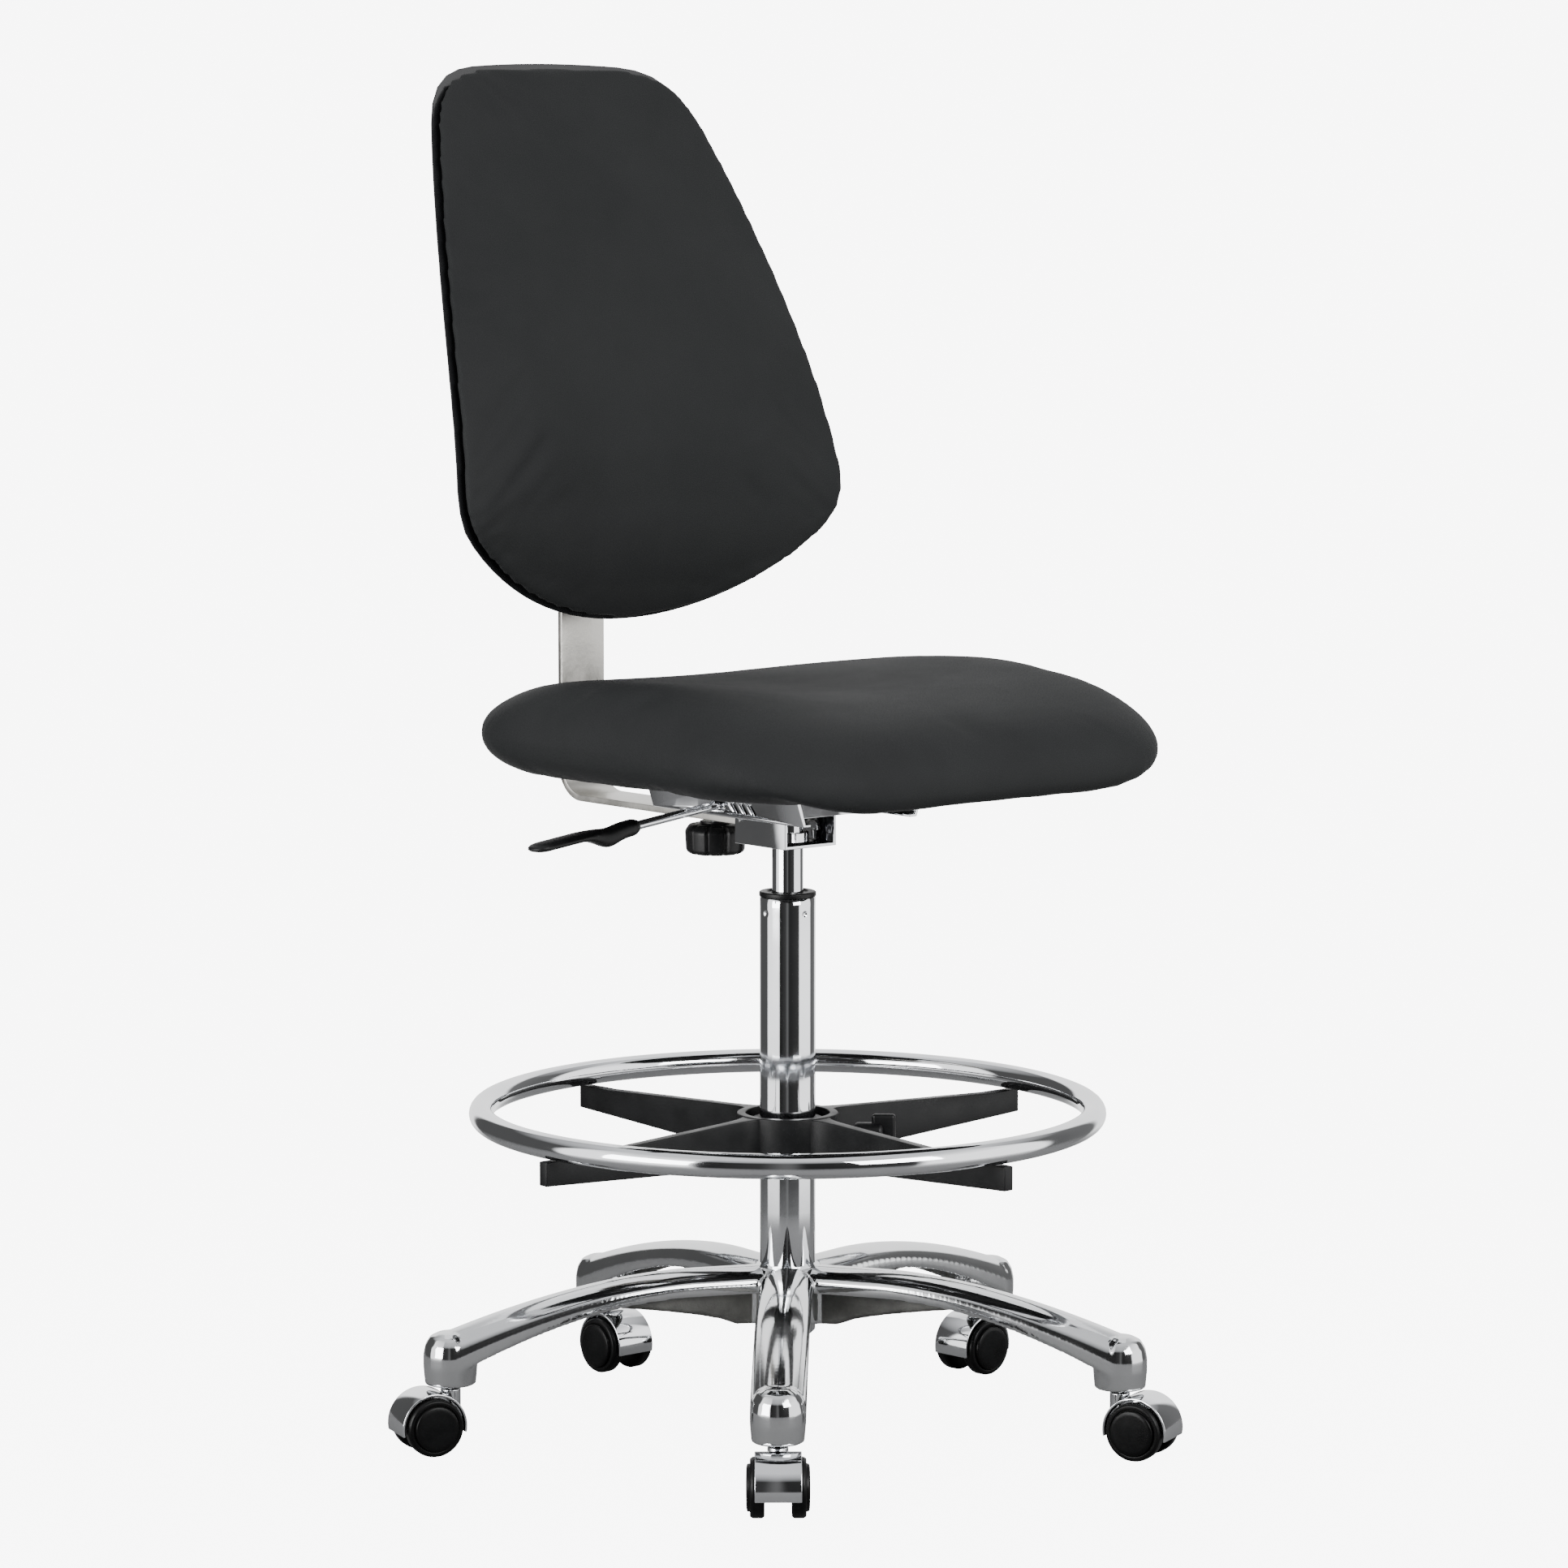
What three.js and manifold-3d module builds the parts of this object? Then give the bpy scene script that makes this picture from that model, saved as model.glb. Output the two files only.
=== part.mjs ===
// A drafting chair: five-arm base on twin-wheel casters, gas-lift column with a foot ring, and an
// upholstered seat and back. Millimetres, +Z up, the sitter faces -Y. The model is first laid out with
// the column on the Z axis and the floor at zero, then moved so its box is centred over the origin.
import * as THREE from "three";
import { mergeVertices } from "three/addons/utils/BufferGeometryUtils.js";
import Module from "manifold-3d";

// Clearances
const TOUCH = 0.3; // between pieces that are fastened face to face
const RUN = 0.4; // radial, around what turns or slides

// Column and gas lift
const COLUMN_R = 25;
const COLUMN_WALL = 1.5;
const COLUMN_BOTTOM = 88;
const COLUMN_TOP = 478;
const COLLAR_HEIGHT = 11;
const BUSHING_LENGTH = 80;
const LIFT_TUBE_R = 14;
const LIFT_TUBE_WALL = 1.4;
const LIFT_TUBE_LENGTH = 420;
const LIFT_CAP = 6;
const LIFT_DOWN = 30;
const ROD_R = 5;
const PISTON_HEIGHT = 12;
const BEARING_HEIGHT = 9;
const BEARING_GAP = 6;
const COLUMN_FLOOR = 3;
const ROD_END = 8; // below the column's floor, past the clip
const ROD_FLANGE = 4;
const CLIP_RIM = 5;
const COLLAR_OVERHANG = 1.5;
const LIFT_CLEARANCE = 16; // between the bearing and the lift tube at its lowest
const PISTON_STROKE = 120;
const RELEASE_PIN_DEPTH = 8;
const RELEASE_PIN_STANDS = 4;
const RELEASE_PIN_R = 3;

// Base
const BASE_YAW = -41.5;
const ARM_COUNT = 5;
const STEM_CIRCLE_R = 312;
const ARM_WIDTH = 48;
const ARM_WALL = 4;
const ARM_DEPTH = 22;
const ARM_DEPTH_GAIN = 14;
const ARM_CURVE_START = 90;
const ARM_DEEPENS_FROM = 150;
const RIB_WIDTH = 14;
const RIB_END = 215;
const HUB_WALL = 7.7;
const HUB_TOP = 151;
const HUB_BOTTOM = 98;
const HUB_EDGE = 4;
const ARM_END_TOP = 107;
const STEM_IN_SOCKET = 28;
const HUB_R = COLUMN_R + TOUCH + HUB_WALL;

// Casters
const WHEEL_R = 26;
const WHEEL_SIDES = 20;
const WHEEL_WIDTH = 15.5;
const WHEEL_GAP = 23;
const CASTER_TRAIL = 22;
const HOOD_GAP = 2.2;
const HOOD_THICK = 2.2;
const HOOD_WIDTH = 40;
const CASTER_CORE = 16;
const CASTER_BOSS_R = 9;
const AXLE_R = 3;
const STEM_R = 5.5;
const STEM_COLLAR_R = 8;
const STEM_COLLAR = 12;
const CORE_R = 9;
const STEM_DEPTH = 8; // above the axle, into the caster's core
const AXLE_SHORT = 4; // from the wheel's outer face to the axle's end
const CASTER_YAWS = [2, -7.5, 172.5, -173.5, 7.5]; // swivel of each caster from its arm's outward line

// Foot ring
const RING_CENTRE_R = 275;
const RING_TUBE_R = 11;
const RING_Z = 290;
const RING_YAW = 2;
const RING_HUB_WALL = 7.7;
const RING_HUB_HEIGHT = 45;
const RING_BUSH_WALL = 12;
const RING_WEB = 11;
const RING_ARM_END = 22;
const RING_BEYOND = 10; // the webs' length past the ring's centre line
const LOCK_STUD_R = 4;
const LOCK_DROP = 18;
const LOCK_STUD_OUT = 26;
const LOCK_KNOB_R = 9;
const LOCK_KNOB_FROM = 14;
const LOCK_KNOB_TO = 40;
const LOCK_WING = { thick: 8, from: 30, to: 52, half: 17 };

// Seat
const SEAT_WIDTH = 510;
const SEAT_DEPTH = 478;
const SEAT_CORNER_R = 120;
const SEAT_FORWARD = 44;
const SEAT_UNDER = 605;
const SEAT_THICK = 79;
const SEAT_RIM = 30; // height of the cushion's widest line above its underside
const SEAT_FULLNESS = 0.6;
const SEAT_DISH = 14;
const SEAT_SIDE_RISE = 6;
const SEAT_REAR_FALL = 22;
const SEAT_FRONT_ROLL = 38;
const SEAT_RIM_ROLL = 24;
const SEAT_LIP = 22; // how far the front edge hangs below the underside
const SEAT_LIP_FROM = 0.8; // where the lip starts, as a share of the way to the front
const BOARD_INSET = 88;
const BOARD_THICK = 9;
const BOLT_R = 6;
const BOLT_HEAD = 5;
const BOLT_OUT = 14;
const BOLT_INSET = 22;

// Mechanism under the seat
const TRAY_WIDTH = 144;
const TRAY_DEPTH = 210;
const TRAY_BACK = 110;
const TRAY_DROP = 36;
const TRAY_WING = 24;
const TRAY_SLOTS = { count: 3, width: 5, height: 12, lean: -25, first: -34, pitch: 12, above: 9 };
const LEVER_WINDOW = { from: 5, to: 19 };
const SHEET = 3;
const BRACKET_WIDTH = 60;
const BRACKET_DEPTH = 70;
const BRACKET_BOTTOM = 531;
const BRACKET_PAST_PIVOT = 12;
const BRACKET_BOSS_WALL = 5;
const BRACKET_BOSS_HEIGHT = 12;
const LEVER_R = 4;
const LEVER_REACH = 290;
const LEVER_DROP = 14;
const LEVER_OFFSET = 12; // the rod's sideways step past the lift tube
const LEVER_ELBOW_X = 50;
const LEVER_NECK_X = 176;
const HANDLE_FROM_X = 160;
const HANDLE_FALL = 17;
const HANDLE_HALF = 12;
const HANDLE_NECK_HALF = 7;
const HANDLE_THICK = 14;

// Back bar and backrest
const BAR_WIDTH = 50;
const BAR_THICK = 6;
const BAR_Z = 547;
const BAR_Y = 296;
const BAR_TOP = 868;
const BAR_BEND_R = 27;
const PIVOT_Y = 26;
const PIVOT_Z = 557;
const PIVOT_R = 4;
const KNOB_Y = 102;
const KNOB_R = 28;
const KNOB_HEIGHT = 30;
const KNOB_GAP = 4;
const KNOB_FLUTES = 8;
const KNOB_STUD_R = 4;
const KNOB_STUD_DEPTH = 18;
const KNOB_NUT_R = 8;
const EYE_EXTRA = 14;
const BACK_BOTTOM = 718;
const BACK_TOP = 1226;
const BACK_HALF_WIDTH = 222;
const BACK_LUMBAR_Z = 815;
const BACK_LUMBAR_Y = 214;
const BACK_LEAN = 0.462;
const BACK_LEAN_EASE = 150;
const BACK_CURL = 0.0022;
const BACK_WRAP = 26;
const PAD_THICK = 34;
const SHELL_THICK = 20;
const PAD_GAP = 3; // between the curved faces of the pad, the shell and the guide
const GUIDE_WALL = 7;
const GUIDE_BOTTOM = 742;
const GUIDE_TOP = 925;
const GUIDE_ROUND = 40;
const SLOT_PAST_BAR = 36;

const wasm = await Module();
wasm.setup();

const finish = (color, roughness, metalness) =>
  new THREE.MeshStandardMaterial({ color, roughness, metalness });
const CHROME = finish(0xd8dadc, 0.08, 1);
const POLISHED = finish(0xc9cbcd, 0.14, 1);
const STEEL = finish(0xb9bcc0, 0.3, 1);
const NICKEL = finish(0xc8c4ba, 0.38, 0.9);
const BLACK_PLASTIC = finish(0x17181a, 0.42, 0);
const GREY_PLASTIC = finish(0x5b5e62, 0.5, 0);
const TREAD = finish(0x111213, 0.5, 0);
const VINYL = finish(0x2b2d2e, 0.45, 0);
const BOARD = finish(0x1c1c1d, 0.8, 0);

// Geometry helpers

// A closed geometry as a solid that can be joined and cut.
function solid(geometry) {
  const bare = new THREE.BufferGeometry().setAttribute("position", geometry.getAttribute("position"));
  if (geometry.index) bare.setIndex(geometry.index);
  const merged = mergeVertices(bare, 1e-4);
  const corners = merged.index.array;
  const kept = [];
  for (let i = 0; i < corners.length; i += 3) {
    const [a, b, c] = corners.slice(i, i + 3);
    if (a !== b && b !== c && c !== a) kept.push(a, b, c);
  }
  return new wasm.Manifold(
    new wasm.Mesh({
      numProp: 3,
      vertProperties: merged.attributes.position.array,
      triVerts: new Uint32Array(kept),
    }),
  );
}

function geometryOf(shape) {
  const { vertProperties, triVerts } = shape.getMesh();
  return new THREE.BufferGeometry()
    .setAttribute("position", new THREE.BufferAttribute(vertProperties, 3))
    .setIndex(new THREE.BufferAttribute(triVerts, 1));
}

function piece(name, shape, material) {
  const geometry = geometryOf(shape);
  geometry.computeVertexNormals();
  const mesh = new THREE.Mesh(geometry, material);
  mesh.name = name;
  return mesh;
}

// A profile of [radius, z] points, anticlockwise, turned about the Z axis.
function turned(profile, sides, closed = false) {
  const points = profile.map(([r, z]) => new THREE.Vector2(r, z));
  if (closed) points.push(points[0].clone());
  return solid(new THREE.LatheGeometry(points, sides).rotateX(Math.PI / 2));
}

const disc = (r, low, high, sides = 24) => turned([[0, low], [r, low], [r, high], [0, high]], sides);
const ring = (inner, outer, low, high, sides = 24) =>
  turned([[inner, low], [outer, low], [outer, high], [inner, high]], sides, true);

function block(x0, x1, y0, y1, z0, z1) {
  const box = new THREE.BoxGeometry(x1 - x0, y1 - y0, z1 - z0);
  return solid(box.translate((x0 + x1) / 2, (y0 + y1) / 2, (z0 + z1) / 2));
}

// A round bar between two points.
function bar(r, from, to, sides = 12) {
  const a = new THREE.Vector3(...from);
  const along = new THREE.Vector3(...to).sub(a);
  const cylinder = new THREE.CylinderGeometry(r, r, along.length(), sides);
  const up = new THREE.Vector3(0, 1, 0);
  const turn = new THREE.Quaternion().setFromUnitVectors(up, along.clone().normalize());
  cylinder.applyQuaternion(turn);
  cylinder.translate(a.x + along.x / 2, a.y + along.y / 2, a.z + along.z / 2);
  return solid(cylinder);
}

// A flat outline in Y and Z, given thickness along X and centred on it.
function sideProfile(shape, width, curveSegments = 6) {
  const geometry = new THREE.ExtrudeGeometry(shape, { depth: width, bevelEnabled: false, curveSegments });
  geometry.translate(0, 0, -width / 2);
  geometry.applyMatrix4(new THREE.Matrix4().set(0, 0, 1, 0, 1, 0, 0, 0, 0, 1, 0, 0, 0, 0, 0, 1));
  return solid(geometry);
}

// A rounded pad on a flat outline. It is a sphere stretched to reach the outline, with a thickness
// above and below its middle surface; place() puts each point in space.
function pad(outline, above, below, fullness, across, around, place) {
  const edge = (angle) => {
    const dx = Math.cos(angle);
    const dy = Math.sin(angle);
    let reach = 0;
    outline.forEach((p, i) => {
      const q = outline[(i + 1) % outline.length];
      const ex = q.x - p.x;
      const ey = q.y - p.y;
      const det = ex * dy - ey * dx;
      if (Math.abs(det) < 1e-9) return;
      const t = (ex * p.y - ey * p.x) / det;
      const s = (dx * p.y - dy * p.x) / det;
      if (s >= -1e-6 && s <= 1 + 1e-6) reach = Math.max(reach, t);
    });
    return reach;
  };
  const sphere = new THREE.SphereGeometry(1, around, across).rotateX(Math.PI / 2);
  const position = sphere.attributes.position;
  for (let i = 0; i < position.count; i++) {
    const point = new THREE.Vector3().fromBufferAttribute(position, i);
    const flat = Math.min(1, Math.hypot(point.x, point.y));
    const angle = Math.atan2(point.y, point.x);
    const spread = Math.sin((flat * Math.PI) / 2) ** 0.85;
    const reach = flat > 1e-6 ? spread * edge(angle) : 0;
    const rise = Math.sqrt(Math.max(0, 1 - flat * flat)) ** fullness;
    const height = point.z > 0 ? above * rise : -below * rise;
    position.setXYZ(i, ...place(reach * Math.cos(angle), reach * Math.sin(angle), height));
  }
  return solid(sphere);
}

const rad = THREE.MathUtils.degToRad;

function group(...children) {
  const made = new THREE.Group();
  made.add(...children);
  return made;
}

// Base: hub, five arched channel arms with a rib below and a round socket at the end

const armTop = (r) => {
  const t = Math.max(0, (r - ARM_CURVE_START) / (STEM_CIRCLE_R - ARM_CURVE_START));
  return HUB_TOP - (HUB_TOP - ARM_END_TOP - 1) * t ** 1.75;
};
const armDepth = (r) => {
  const t = Math.max(0, (r - ARM_DEEPENS_FROM) / (STEM_CIRCLE_R - ARM_DEEPENS_FROM));
  return ARM_DEPTH + ARM_DEPTH_GAIN * t ** 1.6;
};

// An arm's section: a channel open below, as wide as the arm, with its height taken as one.
function channelSection(halfWidth, wall) {
  const shoulder = 0.62;
  const roundness = 0.6;
  const crown = (half, top, count) =>
    Array.from({ length: count + 1 }, (_, i) => {
      const a = (Math.PI * i) / count;
      const across = Math.sign(Math.cos(a)) * Math.abs(Math.cos(a)) ** roundness;
      return new THREE.Vector2(half * across, top - shoulder + shoulder * Math.sin(a) ** roundness);
    });
  const outer = [
    new THREE.Vector2(halfWidth, -1),
    ...crown(halfWidth, 0, 5),
    new THREE.Vector2(-halfWidth, -1),
  ];
  const inner = [
    new THREE.Vector2(-halfWidth + wall, -1),
    ...crown(halfWidth - wall, -0.17, 3).reverse(),
    new THREE.Vector2(halfWidth - wall, -1),
  ];
  return new THREE.Shape([...outer, ...inner]);
}

function armSolid() {
  const from = HUB_R - HUB_WALL;
  const depth = STEM_CIRCLE_R - from;
  const section = channelSection(ARM_WIDTH / 2, ARM_WALL);
  const channel = new THREE.ExtrudeGeometry(section, { depth, steps: 8, bevelEnabled: false });
  const position = channel.attributes.position;
  for (let i = 0; i < position.count; i++) {
    const r = from + position.getZ(i);
    position.setXYZ(i, position.getX(i), -r, armTop(r) + position.getY(i) * armDepth(r));
  }
  const rib = new THREE.Shape();
  rib.moveTo(-from, HUB_BOTTOM);
  rib.quadraticCurveTo(-HUB_R - 50, HUB_BOTTOM + 16, -RIB_END, armTop(RIB_END) - 20);
  rib.lineTo(-RIB_END, armTop(RIB_END) - 8);
  rib.lineTo(-from, HUB_TOP - 10);
  const boss = armTop(STEM_CIRCLE_R);
  const low = socketBottom();
  const r = ARM_WIDTH / 2;
  const socket = turned(
    [[0, low], [r - 1, low], [r, low + 14], [r - 1, boss - 14], [r - 9, boss - 3], [0, boss + 0.6]],
    14,
  ).translate([0, -STEM_CIRCLE_R, 0]);
  return solid(channel).add(sideProfile(rib, RIB_WIDTH, 5)).add(socket);
}

const wheelAxleZ = () => WHEEL_R * Math.cos(Math.PI / WHEEL_SIDES);
const hoodTop = () => wheelAxleZ() + WHEEL_R + HOOD_GAP + HOOD_THICK;
const socketBottom = () => hoodTop() + 2 * TOUCH + STEM_COLLAR;
const stemTop = () => socketBottom() + STEM_IN_SOCKET;

function starBase() {
  let star = turned(
    [
      [0, HUB_BOTTOM], [HUB_R, HUB_BOTTOM], [HUB_R, HUB_TOP - HUB_EDGE],
      [HUB_R - HUB_EDGE, HUB_TOP], [0, HUB_TOP],
    ],
    20,
  );
  for (let i = 0; i < ARM_COUNT; i++) star = star.add(armSolid().rotate([0, 0, (360 * i) / ARM_COUNT]));
  star = star.subtract(disc(COLUMN_R + TOUCH, HUB_BOTTOM - 1, HUB_TOP + 1, 24));
  for (let i = 0; i < ARM_COUNT; i++) {
    const bore = disc(STEM_R + TOUCH, 0, stemTop() + TOUCH, 10).translate([0, -STEM_CIRCLE_R, 0]);
    star = star.subtract(bore.rotate([0, 0, (360 * i) / ARM_COUNT]));
  }
  return star.rotate([0, 0, BASE_YAW]);
}

// Casters: a stem in the arm's socket, a hooded fork that swivels on it, and two wheels on an axle

function casterHood() {
  const z = wheelAxleZ();
  const inner = WHEEL_R + HOOD_GAP;
  const outer = inner + HOOD_THICK;
  const start = rad(-12);
  const band = new THREE.Shape();
  band.absarc(-CASTER_TRAIL, z, outer, start, Math.PI - start, false);
  band.absarc(-CASTER_TRAIL, z, inner, Math.PI - start, start, true);
  const core = new THREE.Shape();
  core.absarc(-CASTER_TRAIL, z, inner + 1, rad(-8), rad(188), false);
  core.absarc(-CASTER_TRAIL, z, CORE_R, rad(188), rad(352), false);
  const boss = disc(CASTER_BOSS_R, z + 2, hoodTop(), 10);
  return sideProfile(band, HOOD_WIDTH, 9)
    .add(sideProfile(core, CASTER_CORE, 6))
    .add(boss)
    .subtract(disc(STEM_R + RUN, z + 6, hoodTop() + 1, 10))
    .subtract(bar(AXLE_R + TOUCH, [-HOOD_WIDTH, -CASTER_TRAIL, z], [HOOD_WIDTH, -CASTER_TRAIL, z], 10));
}

// A wheel on the +X side of the caster, turned about X and flat on the floor between two of its corners.
function casterWheel() {
  const inner = WHEEL_GAP / 2;
  const outer = inner + WHEEL_WIDTH;
  const bore = AXLE_R + RUN;
  const profile = [
    [0, outer], [0, outer - 3], [bore, outer - 3], [bore, inner],
    [WHEEL_R - 1.5, inner], [WHEEL_R, inner + 2],
    [WHEEL_R, outer - 5], [WHEEL_R - 3.5, outer - 1.2], [WHEEL_R - 8, outer],
  ];
  return turned(profile.slice(1).concat([profile[0]]), WHEEL_SIDES)
    .rotate([0, 0, 180 / WHEEL_SIDES])
    .rotate([0, 90, 0])
    .translate([0, -CASTER_TRAIL, wheelAxleZ()]);
}

function casterStem() {
  const low = wheelAxleZ() + STEM_DEPTH;
  const collar = hoodTop() + TOUCH;
  const collarTop = collar + STEM_COLLAR;
  return turned(
    [
      [0, low], [STEM_R, low], [STEM_R, collar], [STEM_COLLAR_R, collar],
      [STEM_COLLAR_R, collarTop], [STEM_R, collarTop], [STEM_R, stemTop()], [0, stemTop()],
    ],
    12,
  );
}

function caster(index) {
  const z = wheelAxleZ();
  const end = WHEEL_GAP / 2 + WHEEL_WIDTH - AXLE_SHORT;
  const wheel = casterWheel();
  const swivel = group(
    piece(`caster_${index}_hood`, casterHood(), CHROME),
    piece(`caster_${index}_axle`, bar(AXLE_R, [-end, -CASTER_TRAIL, z], [end, -CASTER_TRAIL, z]), STEEL),
    piece(`caster_${index}_wheel_left`, wheel.mirror([1, 0, 0]), TREAD),
    piece(`caster_${index}_wheel_right`, wheel, TREAD),
  );
  swivel.rotation.z = rad(CASTER_YAWS[index - 1]);
  const at = group(piece(`caster_${index}_stem`, casterStem(), STEEL), swivel);
  at.position.y = -STEM_CIRCLE_R;
  const arm = group(at);
  arm.rotation.z = rad(BASE_YAW + (360 * (index - 1)) / ARM_COUNT);
  return arm;
}

// Column: outer tube with its guide bushing and collar, and the gas lift inside

function column() {
  const inner = COLUMN_R - COLUMN_WALL;
  const floor = COLUMN_BOTTOM + COLUMN_FLOOR;
  const tube = turned(
    [
      [ROD_R + RUN, COLUMN_BOTTOM], [COLUMN_R, COLUMN_BOTTOM], [COLUMN_R, COLUMN_TOP],
      [inner, COLUMN_TOP], [inner, floor], [ROD_R + RUN, floor],
    ],
    24,
    true,
  );
  const guide = LIFT_TUBE_R + RUN;
  const low = COLUMN_TOP + TOUCH;
  const top = low + COLLAR_HEIGHT;
  const collarR = COLUMN_R + COLLAR_OVERHANG;
  const collar = turned(
    [[guide, low], [collarR, low], [collarR, top - 2], [COLUMN_R - 1, top], [guide, top]],
    24,
    true,
  );
  const bushing = ring(guide, inner - TOUCH, COLUMN_TOP - BUSHING_LENGTH, COLUMN_TOP);
  const bearing = ring(ROD_R + RUN, inner - BEARING_GAP, floor + TOUCH, floor + BEARING_HEIGHT);
  return group(
    piece("column_tube", tube, CHROME),
    piece("guide_bushing", bushing, GREY_PLASTIC),
    piece("column_collar", collar, BLACK_PLASTIC),
    piece("thrust_bearing", bearing, STEEL),
  );
}

const bearingTop = () => COLUMN_BOTTOM + COLUMN_FLOOR + BEARING_HEIGHT;
const liftBottom = () => bearingTop() + LIFT_DOWN + LIFT_CLEARANCE;
const liftTop = () => liftBottom() + LIFT_TUBE_LENGTH;
const pistonLow = () => liftTop() - LIFT_DOWN - LIFT_CAP - PISTON_HEIGHT - PISTON_STROKE;
const releaseTop = () => liftTop() + RELEASE_PIN_STANDS;

function gasLift() {
  const inner = LIFT_TUBE_R - LIFT_TUBE_WALL;
  const low = liftBottom();
  const top = liftTop();
  const tube = turned(
    [
      [ROD_R + RUN, low], [LIFT_TUBE_R, low], [LIFT_TUBE_R, top], [RELEASE_PIN_R + RUN, top],
      [RELEASE_PIN_R + RUN, top - LIFT_CAP], [inner, top - LIFT_CAP],
      [inner, low + LIFT_CAP], [ROD_R + RUN, low + LIFT_CAP],
    ],
    24,
    true,
  );
  const piston = pistonLow();
  const flange = bearingTop() + TOUCH;
  const flangeR = ROD_R + ROD_FLANGE;
  const rodLow = COLUMN_BOTTOM - ROD_END;
  const rodTop = piston + PISTON_HEIGHT;
  const rod = turned(
    [
      [0, rodLow], [ROD_R, rodLow], [ROD_R, flange], [flangeR, flange],
      [flangeR, flange + SHEET], [ROD_R, flange + SHEET], [ROD_R, rodTop], [0, rodTop],
    ],
    12,
  );
  const clip = ring(ROD_R + TOUCH, ROD_R + CLIP_RIM, COLUMN_BOTTOM - CLIP_RIM, COLUMN_BOTTOM - TOUCH, 16);
  const pin = disc(RELEASE_PIN_R, top - LIFT_CAP - RELEASE_PIN_DEPTH, releaseTop(), 12);
  return group(
    piece("pressure_tube", tube, CHROME),
    piece("piston_rod", rod, STEEL),
    piece("piston", ring(ROD_R + TOUCH, inner - RUN, piston, rodTop, 20), BLACK_PLASTIC),
    piece("rod_clip", clip, STEEL),
    piece("release_pin", pin, STEEL),
  );
}

// Foot ring: a clamping bush on the column, a hub with four webs, the round ring and the lock knob

function footRing() {
  const top = RING_Z - 1;
  const low = top - RING_HUB_HEIGHT;
  const bushR = COLUMN_R + RUN + RING_BUSH_WALL;
  const bore = bushR + RUN;
  const hubR = bore + RING_HUB_WALL;
  const webTop = RING_Z - RING_TUBE_R - TOUCH;
  const reach = RING_CENTRE_R + RING_BEYOND;
  const web = new THREE.Shape();
  web.moveTo(-bore - 4, low);
  web.lineTo(-reach, webTop - RING_ARM_END);
  web.lineTo(-reach, webTop);
  web.lineTo(-RING_CENTRE_R + 30, webTop);
  web.lineTo(-bore - 4, top);
  const hubProfile = [[bore, low], [hubR, low], [hubR, top - 1], [hubR - 1, top], [bore, top]];
  let hub = turned(hubProfile, 28, true);
  for (let i = 0; i < 4; i++) hub = hub.add(sideProfile(web, RING_WEB).rotate([0, 0, RING_YAW + 90 * i]));
  const lockZ = top - LOCK_DROP;
  const out = (distance) => [0, -distance, lockZ];
  const turn = (shape) => shape.rotate([0, 0, RING_YAW + 45]);
  const studHole = bar(LOCK_STUD_R + TOUCH, out(bore - 4), out(hubR + 4));
  hub = hub.subtract(turn(studHole));
  const stud = turn(bar(LOCK_STUD_R, out(bore + TOUCH), out(hubR + LOCK_STUD_OUT)));
  const { thick, from, to, half } = LOCK_WING;
  const knob = turn(
    bar(LOCK_KNOB_R, out(hubR + LOCK_KNOB_FROM), out(hubR + LOCK_KNOB_TO), 12)
      .add(block(-thick / 2, thick / 2, -hubR - to, -hubR - from, lockZ - half, lockZ + half))
      .subtract(bar(LOCK_STUD_R + TOUCH, out(0), out(hubR + LOCK_STUD_OUT + TOUCH))),
  );
  const torus = new THREE.TorusGeometry(RING_CENTRE_R, RING_TUBE_R, 8, 36).translate(0, 0, RING_Z);
  return group(
    piece("ring_bush", ring(COLUMN_R + RUN, bushR, low + 3, top - 5, 28), GREY_PLASTIC),
    piece("ring_hub", hub, BLACK_PLASTIC),
    piece("foot_ring", solid(torus), CHROME),
    piece("ring_lock_stud", stud, STEEL),
    piece("ring_lock_knob", knob, BLACK_PLASTIC),
  );
}

// Seat: upholstered cushion on a board, screwed to the mechanism's tray

function seatOutline(inset) {
  const halfX = SEAT_WIDTH / 2 - inset;
  const halfY = SEAT_DEPTH / 2 - inset;
  const r = SEAT_CORNER_R - inset;
  const outline = new THREE.Shape();
  outline.absarc(halfX - r, halfY - r, r, 0, Math.PI / 2, false);
  outline.absarc(r - halfX, halfY - r, r, Math.PI / 2, Math.PI, false);
  outline.absarc(r - halfX, r - halfY, r, Math.PI, 1.5 * Math.PI, false);
  outline.absarc(halfX - r, r - halfY, r, 1.5 * Math.PI, 2 * Math.PI, false);
  return outline;
}

const boardTop = () => SEAT_UNDER - TOUCH;
const boardUnder = () => boardTop() - BOARD_THICK;
const trayTop = () => boardUnder() - TOUCH;

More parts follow.
